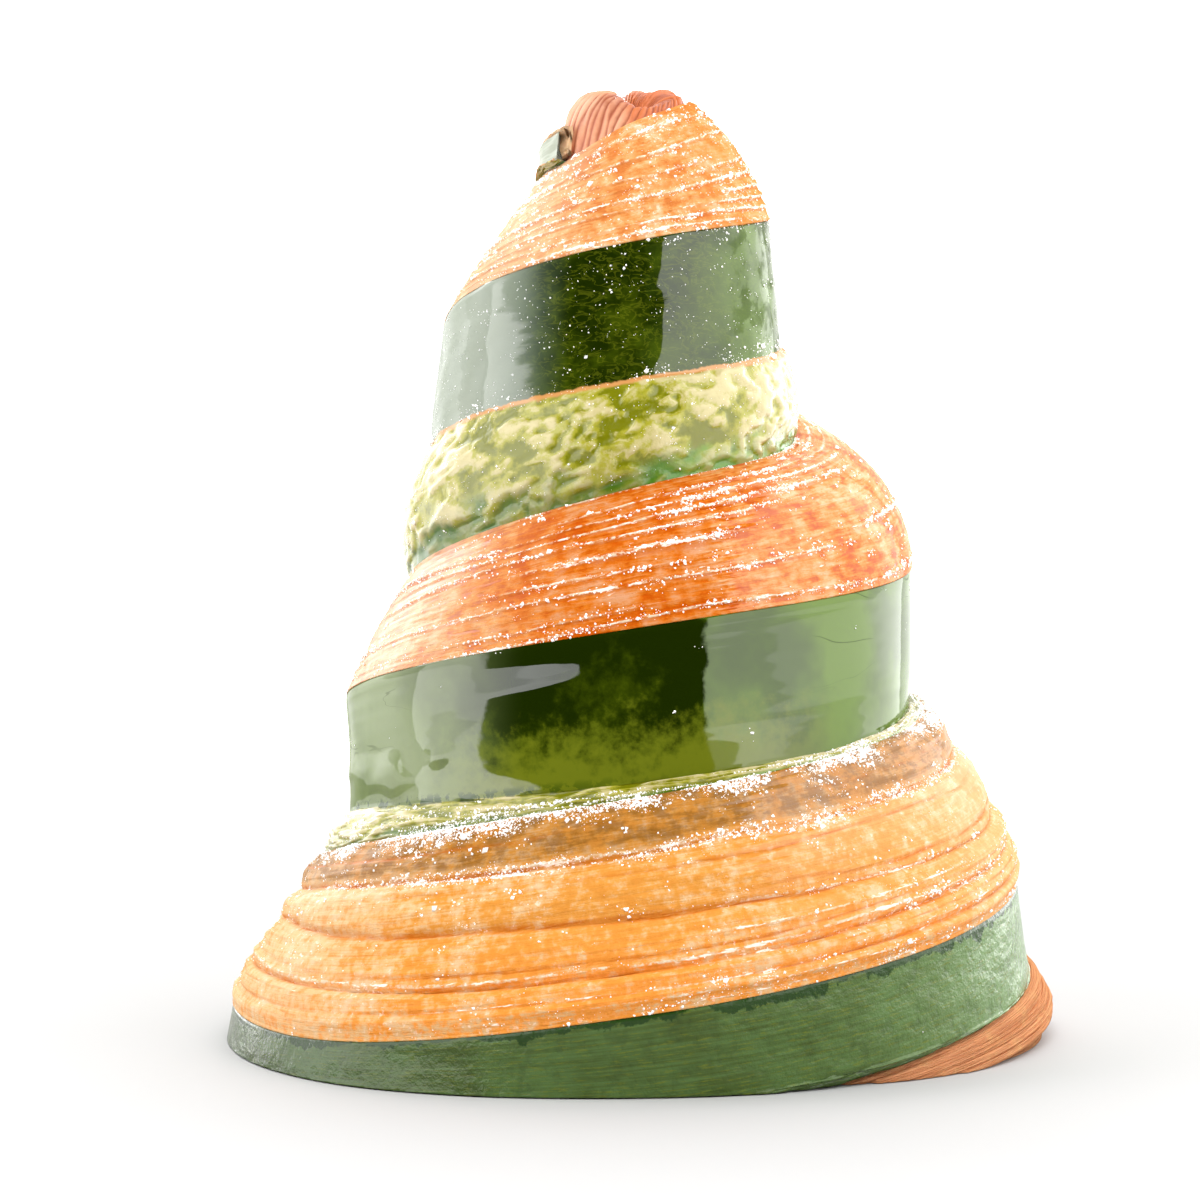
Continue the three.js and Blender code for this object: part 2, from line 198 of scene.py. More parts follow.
def spline(knots, values, at):
    """A cubic through the knots, whose slope at a knot is the mean of the straight slopes on its two sides."""
    knots, values = np.asarray(knots, float), np.asarray(values, float)
    step = np.diff(knots)
    rise = np.diff(values) / step
    slope = np.concatenate([rise[:1], (rise[:-1] + rise[1:]) / 2, rise[-1:]])
    k = np.clip(np.searchsorted(knots, at, side="right") - 1, 0, len(step) - 1)
    p = (at - knots[k]) / step[k]
    start = values[k] * (1 + 2 * p) * (1 - p) ** 2 + slope[k] * step[k] * p * (1 - p) ** 2
    end = values[k + 1] * p**2 * (3 - 2 * p) - slope[k + 1] * step[k] * p**2 * (1 - p)
    return start + end


def eased(x, low, high):
    """0 below low, 1 above high and an S-curve between."""
    p = np.clip((x - low) / (high - low), 0, 1)
    return p * p * (3 - 2 * p)


def bell(x, width):
    """1 at 0, falling off on both sides as a bell of the given width."""
    return np.exp(-((x / width) ** 2))


def mixed(a, b, share):
    """The value that lies a share of the way from a to b."""
    return a + (b - a) * share


def noise(x, y, seed):
    """Smooth noise from -1 to 1: seeded random values on a unit lattice, eased between its points."""
    lattice = np.random.default_rng(seed).uniform(-1, 1, (LATTICE, LATTICE))
    x0, y0 = np.floor(x).astype(int), np.floor(y).astype(int)
    px, py = eased(x - x0, 0, 1), eased(y - y0, 0, 1)
    x0, x1, y0, y1 = x0 % LATTICE, (x0 + 1) % LATTICE, y0 % LATTICE, (y0 + 1) % LATTICE
    left = mixed(lattice[x0, y0], lattice[x0, y1], py)
    right = mixed(lattice[x1, y0], lattice[x1, y1], py)
    return mixed(left, right, px)


def edges(turn):
    """The strip's three edges at each turn, in metres, and the crust's roundness."""
    found = {name: spline(STATIONS["turn"], values, turn) for name, values in STATIONS.items()}
    scaled = {name: value if name == "round" else value * MM for name, value in found.items()}
    return SimpleNamespace(**scaled)


def stood_up(radius, height, turn):
    """Points from radius, height and turn: the strip winds clockwise, seen from above, as it goes down."""
    angle = -2 * np.pi * turn
    x = AXIS[0] + radius * np.cos(angle)
    y = AXIS[1] + radius * np.sin(angle)
    return np.stack(np.broadcast_arrays(x, y, height), axis=-1)


def square_off(line, turn, across):
    """The outward direction, as radius and height, square to a line's course across the strip."""
    before = line(turn, across - SLOPE_STEP)
    after = line(turn, across + SLOPE_STEP)
    out, up = before[1] - after[1], after[0] - before[0]
    size = np.hypot(out, up) + 1e-12
    return out / size, up / size


def shoulder(turn, across):
    """The crust without its layers: between a straight slope and a quarter ellipse, down to the face's top."""
    e = edges(turn)
    bend = np.pi / 2 * np.clip(across, 0, 1)
    straight = np.clip(across, 0, 1)
    out = mixed(straight, np.sin(bend), e.round)
    down = mixed(straight, 1 - np.cos(bend), e.round)
    return mixed(e.crust_r, e.top_r, out), mixed(e.crust_z, e.top_z, down)


def roll_place(turn, across):
    """How many rolls of dough lie above a place, counted with the share of its own: rolls end at ROLL_ENDS."""
    ends = [spline(ROLL_TURNS, values, turn) for values in ROLL_ENDS]
    lows = [np.zeros_like(ends[0])] + ends
    highs = ends + [np.ones_like(ends[0])]
    return sum(np.clip((across - low) / (high - low), 0, 1) for low, high in zip(lows, highs))


def upper_lines(turn, across, strip):
    """Thin layer edges of the upper turns, and the creases under them, each from 0 to 1.

    The edges are bells evenly spaced across the strip. They wander, and each comes and goes along its length.
    """
    wander = 0.9 * noise(turn * 2.3, across * 3, 3) + 0.35 * noise(turn * 9, across * 4, 19)
    wander = wander + 0.1 * noise(turn * 37, across * 9, 4)
    place = across * strip.leaf_count + wander
    number = np.floor(place)
    off = place - number - 0.5
    strength = eased(noise(turn * 7 + 13.7 * number, number * 0.61, 5), -0.6, 0.6)
    return bell(off, 0.12) * strength, bell(off - 0.22, 0.16) * strength


def lines_at(turn, roll, places, width, seed):
    """Bells of a width at places counted in rolls, from 0 to 1. Each comes and goes along its length."""
    wander = 0.05 * noise(turn * 7, roll, 6) + 0.03 * noise(turn * 29, roll * 3, 9)
    places = np.array(places)
    off = (roll + wander)[..., None] - places
    strength = eased(noise(turn[..., None] * 6 + 11.3 * places, places * 7.1 + 0 * off, seed), -0.3, 0.6)
    return (bell(off, width) * strength).max(axis=-1)


def foot_lines(turn, roll):
    """The foot's thin layer edges, its creases, and how open those between rolls are, each from 0 to 1."""
    inner = np.clip(np.round(roll), 1, 4)
    opened = 0.25 + 0.75 * eased(noise(turn * 5 + 9.1 * inner, inner * 1.3, 29), -0.5, 0.3)
    fine = lines_at(turn, roll, FOOT_CREASES, 0.028, 30)
    creases = np.maximum(bell(roll - inner, 0.05) * opened, fine)
    return lines_at(turn, roll, FOOT_LINES, 0.035, 10), creases, opened


def crust_relief(turn, across, strip):
    """Height of the baked layers over the shoulder, with how near each place is to a crest and to a crease.

    The upper turns carry thin layer edges. The foot carries five rolls, whose section is a power of a sine,
    with its own thin edges on them. Lumps are noise of four sizes over both.
    """
    foot = eased(turn, FOOT_BEGINS, FOOT_FULL)
    roll = roll_place(turn, across)
    roll = roll + (0.09 * noise(turn * 9, across * 5, 16) + 0.05 * noise(turn * 33, across * 9, 26)) * foot
    roll = np.clip(roll, 0, 5)
    upper_crest, upper_crease = upper_lines(turn, across, strip)
    foot_crest, foot_crease, opened = foot_lines(turn, roll)
    crest = mixed(upper_crest, foot_crest, foot)
    crease = mixed(upper_crease, foot_crease, foot)
    hump = mixed(0.9, np.abs(np.sin(np.pi * roll)) ** 0.45, opened)
    hump = hump * (0.8 + 0.2 * noise(turn * 8 + 17.3 * np.floor(roll), roll, 25))
    lump = 0.5 * noise(turn * 13, across * 4, 7) + 0.35 * noise(turn * 41, across * 11, 8)
    lump = lump + 0.4 * noise(turn * 83, across * 29, 18) + 0.22 * noise(turn * 15, across * 58, 28)
    near_tip = 1 + 0.5 * (1 - eased(turn, 1.05, 1.3))
    height = strip.leaf_relief * near_tip * (crest - mixed(0.5, 0.9, foot) * crease)
    tail = eased(turn, 3.68, 3.8)
    height = height + strip.roll_relief * foot * (1 - 0.75 * tail) * hump
    height = height + strip.lump_relief * lump * mixed(0.5, 1.0, foot)
    fade = eased(across, 0.0, 0.03) * eased(1 - across, 0.0, 0.07)
    return height * fade, crest, crease, roll


def crust_point(turn, across, strip):
    """Radius and height of the crust, whose layers stand square off the shoulder, and its three values."""
    radius, height = shoulder(turn, across)
    out, up = square_off(shoulder, turn, np.clip(across, SLOPE_STEP, 1 - SLOPE_STEP))
    relief, crest, crease, roll = crust_relief(turn, across, strip)
    return radius + out * relief, height + up * relief, {"crest": crest, "crease": crease, "roll": roll}


def junction(turn):
    """The next turn's inner edge, or a place under the table where there is no next turn."""
    following = edges(np.minimum(turn + 1, STRIP_END))
    last = turn + 1 > STRIP_END + 1e-9
    return np.where(last, BURIED_R, following.crust_r), np.where(last, BURIED_Z, following.crust_z)


def green_line(strip):
    """A function of turn and place across: the green sheet's outer line without bubbles or ripples.

    The dark face runs from top to foot with a slight waist, a ledge steps out, the pale band bulges as a half
    sine down to the next turn's edge, and the end goes straight on down behind that turn.
    """

    def line(turn, across):
        e = edges(turn)
        meet_r, meet_z = junction(turn)
        foot_z = np.maximum(e.foot_z, meet_z + PALE_LEAST)
        pale_share = eased(foot_z - meet_z, 0, PALE_FULL)
        bulge = strip.pale_bulge * (1 - PALE_SWING * np.cos(2 * np.pi * turn)) * pale_share
        waist = strip.waist * bell(turn - WAIST_TURN, WAIST_SPREAD)
        ledge_r = e.foot_r + strip.ledge * pale_share
        ledge_z = mixed(foot_z, meet_z, LEDGE_SHARE)
        w = np.clip(across, FACE_TOP, FACE_FOOT)
        face_r = mixed(e.top_r, e.foot_r, w) - waist * np.sin(np.pi * w)
        face_z = mixed(e.top_z, foot_z, w)
        step = np.clip((across - FACE_FOOT) / (PALE_TOP - FACE_FOOT), 0, 1)
        w = np.clip((across - PALE_TOP) / (PALE_FOOT - PALE_TOP), 0, 1)
        pale_r = mixed(ledge_r, meet_r, w) + bulge * np.sin(np.pi * w)
        pale_z = mixed(ledge_z, meet_z, w)
        radius = np.where(across < PALE_TOP, mixed(face_r, ledge_r, step), pale_r)
        height = np.where(across < PALE_TOP, mixed(face_z, ledge_z, step), pale_z)
        return radius, height - TUCK * np.clip(across - PALE_FOOT, 0, 1)

    return line


def blobs(turn, across):
    """How far the pale band's wet blobs stand up, from 0 to 1: two scales of warped noise, cut to plateaus."""
    warp = 1.1 * noise(turn * 40, across * 7, 15)
    large = noise(turn * 76 + warp, across * 9 - warp, 13)
    small = noise(turn * 150 - warp, across * 21 + warp, 14)
    return eased(large + 0.6 * small, -0.75, 0.85)


def green_relief(turn, across, strip):
    """Ripples, fine streaks and a rounded top edge on the dark face, and blobs on the pale band.

    The first turn has wrinkles as well, and the middle turn some bubbles at its lower left.
    """
    face = 1 - eased(across, FACE_FOOT, PALE_TOP)
    pale = eased(across, FACE_FOOT, PALE_TOP) * (1 - eased(across, PALE_FOOT - 0.05, PALE_FOOT))
    first = 1 - eased(turn, *GREEN_FIRST)
    ripple = 1.3 * noise(turn * 14, across * 1.5, 11) + 0.5 * noise(turn * 33, across * 3, 12)
    bubbles = bell(across - 0.78, 0.2) * bell(turn - 2.43, 0.1)
    bubbles = bubbles * eased(noise(turn * 52, across * 6, 28), 0.0, 0.7)
    wrinkles = 0.3 * noise(turn * 62, across * 6, 20) + 0.12 * noise(turn * 9, across * 30, 27)
    ripple = ripple + 1.6 * bubbles + first * wrinkles
    streak = noise(turn * 13, across * 26, 17)
    rounding = -0.12 * MM * (1 - eased(across, 0, 0.05)) ** 2
    on_face = strip.ripple * ripple + strip.streak * streak + rounding
    return face * on_face + pale * strip.blob * (blobs(turn, across) - 0.5)


def green_point(turn, across, strip):
    """Radius and height of the green sheet's outer surface: its relief stands square off its line."""
    line = green_line(strip)
    radius, height = line(turn, across)
    out, up = square_off(line, turn, np.clip(across, SLOPE_STEP, PALE_FOOT - SLOPE_STEP))
    relief = green_relief(turn, across, strip)
    return radius + out * relief, height + up * relief


def settled(radius, height, floor, inset):
    """Rows of a surface cut at the floor: from where a row goes under it, it runs on inwards along it."""
    under = height < floor
    first = under.argmax(axis=1)
    rows = np.arange(len(radius))
    before = np.maximum(first - 1, 0)
    drop = height[rows, before] - height[rows, first]
    share = np.clip((height[rows, before] - floor) / np.where(np.abs(drop) < 1e-9, 1e-9, drop), 0, 1)
    crossing = mixed(radius[rows, before], radius[rows, first], share)
    steps = np.arange(radius.shape[1])[None, :] - first[:, None]
    radius = np.where(under, crossing[:, None] - inset * steps, radius)
    return radius, np.maximum(height, floor)


def mesh_object(name, points, faces, corner_uv=None, values=None):
    """A smooth mesh object from points, a list of face arrays, their corners' UVs and values at the points."""
    mesh = bpy.data.meshes.new(name)
    corners = np.concatenate([f.ravel() for f in faces]).astype(np.int32)
    sizes = np.concatenate([np.full(len(f), f.shape[1]) for f in faces]).astype(np.int32)
    starts = np.concatenate([[0], np.cumsum(sizes)[:-1]]).astype(np.int32)
    mesh.vertices.add(len(points))
    mesh.vertices.foreach_set("co", np.asarray(points, np.float32).ravel())
    mesh.loops.add(len(corners))
    mesh.loops.foreach_set("vertex_index", corners)
    mesh.polygons.add(len(sizes))
    mesh.polygons.foreach_set("loop_start", starts)
    mesh.polygons.foreach_set("use_smooth", np.ones(len(sizes), bool))
    if corner_uv is not None:
        flat = np.concatenate([uv.reshape(-1, 2) for uv in corner_uv]).astype(np.float32)
        mesh.uv_layers.new(name="strip").data.foreach_set("uv", flat.ravel())
    for key, value in (values or {}).items():
        flat = np.asarray(value, np.float32).ravel()
        mesh.attributes.new(key, "FLOAT", "POINT").data.foreach_set("value", flat)
    mesh.update(calc_edges=True)
    mesh.validate()
    piece = bpy.data.objects.new(name, mesh)
    bpy.context.scene.collection.objects.link(piece)
    return piece


def grid_faces(index):
    """Quads of a grid of point numbers, facing out where rows go on round and columns go down."""
    return np.stack([index[:-1, :-1], index[1:, :-1], index[1:, 1:], index[:-1, 1:]], axis=-1).reshape(-1, 4)


def grid_uv(u, v):
    """The UVs of grid_faces' corners from the grid's own two parameters."""
    both = np.stack(np.broadcast_arrays(u, v), axis=-1)
    return np.stack([both[:-1, :-1], both[1:, :-1], both[1:, 1:], both[:-1, 1:]], axis=2)


class Wire:
    """A socket of a node tree. Arithmetic with numbers or other wires adds Math nodes."""

    def __init__(self, tree, socket):
        self.tree = tree
        self.socket = socket

    def math(self, operation, first, second):
        return self.tree.add("ShaderNodeMath", {"operation": operation}, {0: first, 1: second})

    def __add__(self, other):
        return self.math("ADD", self, other)

    def __radd__(self, other):
        return self.math("ADD", other, self)

    def __sub__(self, other):
        return self.math("SUBTRACT", self, other)

    def __rsub__(self, other):
        return self.math("SUBTRACT", other, self)

    def __mul__(self, other):
        return self.math("MULTIPLY", self, other)

    def __rmul__(self, other):
        return self.math("MULTIPLY", other, self)


class Nodes:
    """A node tree being written: add makes any node, and the other methods are names for common ones."""

    def __init__(self, owner):
        owner.use_nodes = True
        self.tree = owner.node_tree
        self.tree.nodes.clear()

    def add(self, kind, settings=None, sockets=None, output=0):
        """A new node of a kind: its settings first, then values or wires for its sockets. Gives one output."""
        node = self.tree.nodes.new(kind)
        for name, value in (settings or {}).items():
            setattr(node, name, value)
        for name, value in (sockets or {}).items():
            if isinstance(value, Wire):
                self.tree.links.new(value.socket, node.inputs[name])
            else:
                node.inputs[name].default_value = value
        return Wire(self, node.outputs[output]) if node.outputs else None

    def place(self):
        return self.add("ShaderNodeTexCoord", output="Object")

    def strip_uv(self):
        return self.add("ShaderNodeUVMap", {"uv_map": "strip"})

    def value(self, name):
        return self.add("ShaderNodeAttribute", {"attribute_name": name}, output="Fac")

    def parts(self, vector):
        return [self.add("ShaderNodeSeparateXYZ", None, {0: vector}, axis) for axis in range(3)]

    def stretched(self, vector, scale):
        return self.add("ShaderNodeMapping", None, {"Vector": vector, "Scale": scale})

    def noise(self, vector, scale, detail=3.0, roughness=0.55, distortion=0.0):
        named = {"Scale": scale, "Detail": detail, "Roughness": roughness, "Distortion": distortion}
        return self.add("ShaderNodeTexNoise", None, {"Vector": vector, **named}, "Fac")

    def between(self, value, low, high):
        """0 where a value is at low, 1 at high, and an S-curve between."""
        settings = {"interpolation_type": "SMOOTHSTEP"}
        return self.add("ShaderNodeMapRange", settings, {"Value": value, 1: low, 2: high, 3: 0.0, 4: 1.0})

    def hairline(self, value, width):
        """1 where a noise is within a width of its middle, which draws thin wandering lines, and else 0."""
        off = value - 0.5
        return 1 - self.between(off * off, 0.0, width**2)

    def mix(self, share, first, second):
        """A colour that lies a share of the way from the first colour to the second."""
        sockets = {0: share, 6: as_colour(first), 7: as_colour(second)}
        return self.add("ShaderNodeMix", {"data_type": "RGBA"}, sockets, 2)

    def over(self, base, *layers):
        """A colour with others laid over it in turn, each given by its share and its colour."""
        for share, laid in layers:
            base = self.mix(share, base, laid)
        return base

    def bump(self, height, distance):
        return self.add("ShaderNodeBump", None, {"Height": height, "Distance": distance})

    def shader(self, **sockets):
        """A Principled shader with these sockets, whose spaces are written as underscores."""
        named = {name.replace("_", " "): value for name, value in sockets.items()}
        return self.add("ShaderNodeBsdfPrincipled", None, named)

    def finish(self, shader):
        """Ends a material with its shader."""
        self.add("ShaderNodeOutputMaterial", None, {"Surface": shader})


def as_colour(value):
    """A colour socket's value: wires as they are, three numbers with full alpha."""
    return value if isinstance(value, Wire) else (*value, 1.0)


def srgb(red, green, blue):
    """A linear colour from three screen values of 0 to 255."""
    share = np.array([red, green, blue]) / 255
    return tuple(float(c) for c in np.where(share <= 0.04045, share / 12.92, ((share + 0.055) / 1.055) ** 2.4))


def size(name, description, default):
    limits = {"min": 0.0, "unit": "LENGTH", "precision": 5}
    return FloatProperty(name=name, description=description, default=default, **limits)


def count(name, description, default):
    return IntProperty(name=name, description=description, default=default, min=1)


def times(name, description, default):
    return FloatProperty(name=name, description=description, default=default, min=0.0)


def power(name, description, default):
    return FloatProperty(name=name, description=description, default=default, min=0.0, unit="POWER")


def colour(name, description, default):
    limits = {"size": 3, "subtype": "COLOR", "min": 0.0, "max": 1.0}
    return FloatVectorProperty(name=name, description=description, default=default, **limits)


class StripSettings(bpy.types.PropertyGroup):
    """Sizes of the wound strip's surface."""

    crust_steps: count("Crust steps", "Grid rows in one turn of the crust", 170)
    crust_columns: count("Crust columns", "Grid columns across the crust", 138)
    green_steps: count("Green steps", "Grid rows in one turn of the green sheet", 316)
    leaf_count: times("Leaves", "Thin layers across the upper crust", 11.5)
    leaf_relief: size("Leaf relief", "Height of a thin layer's edge", 0.17 * MM)
    roll_relief: size("Roll relief", "Height of a roll of dough at the foot", 1.2 * MM)
    lump_relief: size("Lump relief", "Unevenness of the crust", 0.32 * MM)
    green_thickness: size("Green thickness", "Thickness of the green sheet", 1.8 * MM)
    backing_depth: size("Backing depth", "How far the plain dough lies under the green sheet's face", 1.0 * MM)
    waist: size("Waist", "Hollow of the green face on the middle turn", 0.08 * MM)
    ledge: size("Ledge", "Step from the dark face out to the pale band", 0.6 * MM)
    pale_bulge: size("Pale bulge", "Bulge of the pale band", 1.25 * MM)
    ripple: size("Ripple", "Slow waves of the green face", 0.17 * MM)
    streak: size("Streak", "Fine waves along the green face", 0.012 * MM)
    blob: size("Blob", "Height of the wet blobs on the pale band", 0.42 * MM)


class CrustColours(bpy.types.PropertyGroup):
    """Colours of the baked plain dough."""

    golden: colour("Golden", "The rolls at the foot", srgb(208, 143, 66))
    # Painted light: a brighter orange that lightens the lowest rolls, which face down and lie in shade.
    low_roll_light: colour("Ember", "The lowest rolls at the foot", srgb(240, 148, 66))
    # Amber also serves as painted shade in the foot's creases.
    amber: colour("Amber", "Darker patches of the rolls at the foot", srgb(197, 118, 32))
    orange: colour("Orange", "The thin layers above", srgb(206, 118, 32))
    # Burnt also serves as painted shade in the creases and in front.
    burnt: colour("Burnt", "Darker streaks and creases", srgb(179, 72, 4))
    peach: colour("Peach", "Pale mottles and the first turn", srgb(211, 166, 113))
    # Cream also serves as painted highlights on the layers' edges and as painted light on the left and the
    # foot's sides.
    cream: colour("Cream", "Edges of the layers and the palest flecks", srgb(213, 194, 167))
    dusting: colour("Dusting", "Sugar too fine to see as grains", srgb(255, 246, 236))
    syrup: colour("Syrup", "Wet brown patches on the ledge of the foot", srgb(124, 80, 26))
    tail: colour("Tail", "The dry tail at the foot", srgb(218, 156, 112))
    bark: colour("Bark", "Darker streaks of the dry tail", srgb(158, 90, 54))


class GreenColours(bpy.types.PropertyGroup):
    """Colours of the green dough."""

    deep: colour("Deep", "The dark face", srgb(21, 33, 1))
    moss: colour("Moss", "Lighter patches of the dark face", srgb(51, 64, 4))
    vein: colour("Vein", "Fine wrinkles, the foot of the middle turn and flecks", srgb(100, 108, 22))
    leaf: colour("Leaf", "The face away from its dark middle", srgb(86, 112, 24))
    # Painted light: the face lightened away from its dark middle and under the mirrored glaze.
    sage: colour("Sage", "The satin face at the foot", srgb(75, 101, 50))
    # The next two colours are a painted reflection: a pale sheen painted on the left of the first and the
    # middle turn.
    first_left_sheen: colour("Mist", "Thick glaze on the left of the first turn", srgb(92, 104, 91))
    middle_left_sheen: colour("Haze", "Thick glaze on the left of the middle turn", srgb(108, 122, 72))
    # The tab's pale colour, and a painted sheen on the first turn's left.
    tab_and_left_sheen: colour("Frost", "The palest glaze, at the first turn's left and on the tab", srgb(160, 166, 150))
    # Painted light: the satin face lightened at its right.
    milky: colour("Milky", "The satin face at the right", srgb(112, 143, 86))
    # Painted shade for the line under the crust's foot, and a dark joint over the pale band.
    algae: colour("Algae", "Dark lines under the crust and over the pale band", srgb(22, 52, 3))
    fresh: colour("Fresh", "The lower edge of the pale band", srgb(76, 126, 35))
    olive: colour("Olive", "Wet patches of the pale band", srgb(106, 108, 7))
    straw: colour("Straw", "Between the wet and the dry patches of the pale band", srgb(150, 146, 42))
    cream: colour("Cream", "Plain dough that shows through the pale band", srgb(183, 171, 122))
    line: colour("Line", "The line of plain dough between face and pale band", srgb(185, 131, 76))


class CurlColours(bpy.types.PropertyGroup):
    """Colours of the curl at the tip."""

    skin: colour("Skin", "The pleats' crowns", srgb(206, 142, 104))
    pale: colour("Pale", "Drier crowns", srgb(207, 152, 120))
    inside: colour("Inside", "The pleats round the hole", srgb(184, 96, 42))
    # Painted shade between the pleats.
    fold: colour("Fold", "Between the pleats", srgb(142, 66, 32))


class SugarSettings(bpy.types.PropertyGroup):
    """The icing sugar."""

    colour: colour("Sugar", "Icing sugar", srgb(255, 254, 252))
    grain: size("Grain", "Half the width of a usual grain", 0.055 * MM)
    grains: count("Grains", "Grains of loose dust", 24900)
    dust_clump: count("Dust clump", "Usual grains of dust in a clump", 10)
    lump: size("Lump", "Half the width of a usual lump", 0.12 * MM)
    lumps: count("Lumps", "Lumps of sugar", 13000)
    lump_clump: count("Lump clump", "Usual lumps in a clump", 14)
    fineness: times("Fineness", "Times more dust than lumps that the first green turn holds", 7.0)
    along: size("Along", "How far a clump spreads along the strip", 0.65 * MM)
    aside: size("Aside", "How far a clump spreads across the strip", 0.24 * MM)
    seed: count("Seed", "Start of the random draws", 7)


class StageSettings(bpy.types.PropertyGroup):
    """Camera and studio."""

    distance: size("Distance", "From the camera to the pastry's axis", 320 * MM)
    aside: size("Aside", "How far the camera stands to the left of the axis", 4.56 * MM)
    height: size("Height", "Height of the camera", 51.4 * MM)
    lens: FloatProperty(name="Lens", description="Focal length in millimetres", default=80.0, unit="CAMERA")
    right_power: power("Right power", "Power of the right softbox", 6.0)
    left_power: power("Left power", "Power of the left softbox", 2.3)
    top_power: power("Top power", "Power of the top softbox", 2.2)
    fill_power: power("Fill power", "Power of the soft light from the front", 3.8)
    card_right_power: power("Right card", "Power of the right reflector card", 4.0)
    card_left_power: power("Left card", "Power of the left reflector card", 3.5)
    card_back_power: power("Back card", "Power of the reflector card behind the left one", 1.2)
    floor_colour: colour("Floor", "The pale floor", (0.45, 0.45, 0.45))


def fan(centre, first, second):
    """Triangles from one point to pairs of others, as point numbers."""
    return np.stack([np.full(len(first), centre), first, second], axis=-1)


def backing_rows(turn, strip):
    """Radius and height of the dough behind the green sheet: the sheet's line, moved in by its depth."""
    line = green_line(strip)
    across = np.array(BACKING_PLACES)[None, :]
    radius, height = line(turn, across)
    out, up = square_off(line, turn, across)
    return radius - out * strip.backing_depth, height - up * strip.backing_depth


def dough_rows(strip):
    """Rows of the crust and of the dough behind the green sheet: radius, height, turn, UV place and values."""
    steps = strip.crust_steps
    rows = round((STRIP_END - STRIP_START) * steps) + 1
    turn = (STRIP_START + np.arange(rows) / steps)[:, None]
    across = np.linspace(0, 1, strip.crust_columns)[None, :]
    radius, height, values = crust_point(turn + 0 * across, across + 0 * turn, strip)
    back_r, back_z = backing_rows(turn, strip)
    radius, height = settled(np.hstack([radius, back_r]), np.hstack([height, back_z]), 0.0, CRUST_INSET)
    values = {key: np.hstack([value, 0 * back_r]) for key, value in values.items()}
    behind = 1 + BACKING_UV * np.arange(1, len(BACKING_PLACES) + 2)
    return radius, height, turn, np.append(across, behind)[None, :], values


def dough_surface(strip):
    """The plain dough as one closed surface, with a hollow at the tip and a flat foot.

    Each of its rows goes on into the first point of the turn below it.
    """
    steps = strip.crust_steps
    radius, height, turn, place, values = dough_rows(strip)
    rows, columns = radius.shape
    foot_r = radius[-steps:, -1] * FOOT_SHARE
    foot_points = stood_up(foot_r, 0 * foot_r, turn[-steps:, 0])
    angle = -2 * np.pi * turn[:steps, 0]
    hollow = HOLLOW_PLACE + np.stack([np.cos(angle), np.sin(angle), 0 * angle], -1) * HOLLOW_R
    middles = [HOLLOW_PLACE - (0, 0, HOLLOW_DEPTH), (*AXIS, 0.0)]
    points = np.vstack([stood_up(radius, height, turn).reshape(-1, 3), foot_points, hollow, middles])

    foot_ring = rows * columns + np.arange(steps)
    hollow_ring = foot_ring + steps
    hollow_floor, centre = len(points) - 2, len(points) - 1
    index = np.arange(rows * columns).reshape(rows, columns)
    following = np.concatenate([index[steps:, 0], foot_ring])
    index = np.hstack([index, following[:, None]])
    ring = np.append(hollow_ring, hollow_ring[0])
    top = index[: steps + 1, 0]
    under = np.append(index[-1, 0], foot_ring)
    caps = [
        np.stack([top[1:], top[:-1], ring[:-1], ring[1:]], -1),
        fan(hollow_floor, ring[1:], ring[:-1]),
        fan(ring[0], index[0, :-1], index[0, 1:]),
        fan(centre, under[:-1], under[1:]),
        fan(centre, index[-1, 1:], index[-1, :-1]),
    ]
    cap_uv = [np.full((*cap.shape, 2), (STRIP_START, 0.0)) for cap in caps]
    spare = np.zeros(len(points) - rows * columns)
    values = {key: np.append(value, spare) for key, value in values.items()}
    return points, [grid_faces(index), *caps], [grid_uv(turn, place), *cap_uv], values


def green_columns():
    """Places across the green sheet's outer face."""
    spans = [np.linspace(low, high, number, endpoint=False) for low, high, number in GREEN_SPANS]
    return np.concatenate([*spans, np.linspace(PALE_FOOT, TUCK_END, TUCK_COLUMNS)])[None, :]


def green_inside(turn, across, end_r, strip):
    """Radius and height of the green sheet's inner face: its line, moved in by a thickness that tapers off.

    Its tucked part stays inside the end of the outer face.
    """
    line = green_line(strip)
    radius, height = line(turn, across)
    out, up = square_off(line, turn, np.clip(across, SLOPE_STEP, TUCK_END - SLOPE_STEP))
    opens = 0.1 + 0.9 * eased(turn, GREEN_START, GREEN_START + GREEN_OPENS)
    closes = 1 - eased(turn, GREEN_END - GREEN_TAPER, GREEN_END + GREEN_TAPER / 2)
    thick = strip.green_thickness * opens * closes
    radius = radius - out * thick
    tucked = np.minimum(radius, end_r - TUCK_GAP)
    return np.where(across < PALE_FOOT, radius, tucked), np.maximum(height - up * thick, GREEN_FLOOR)


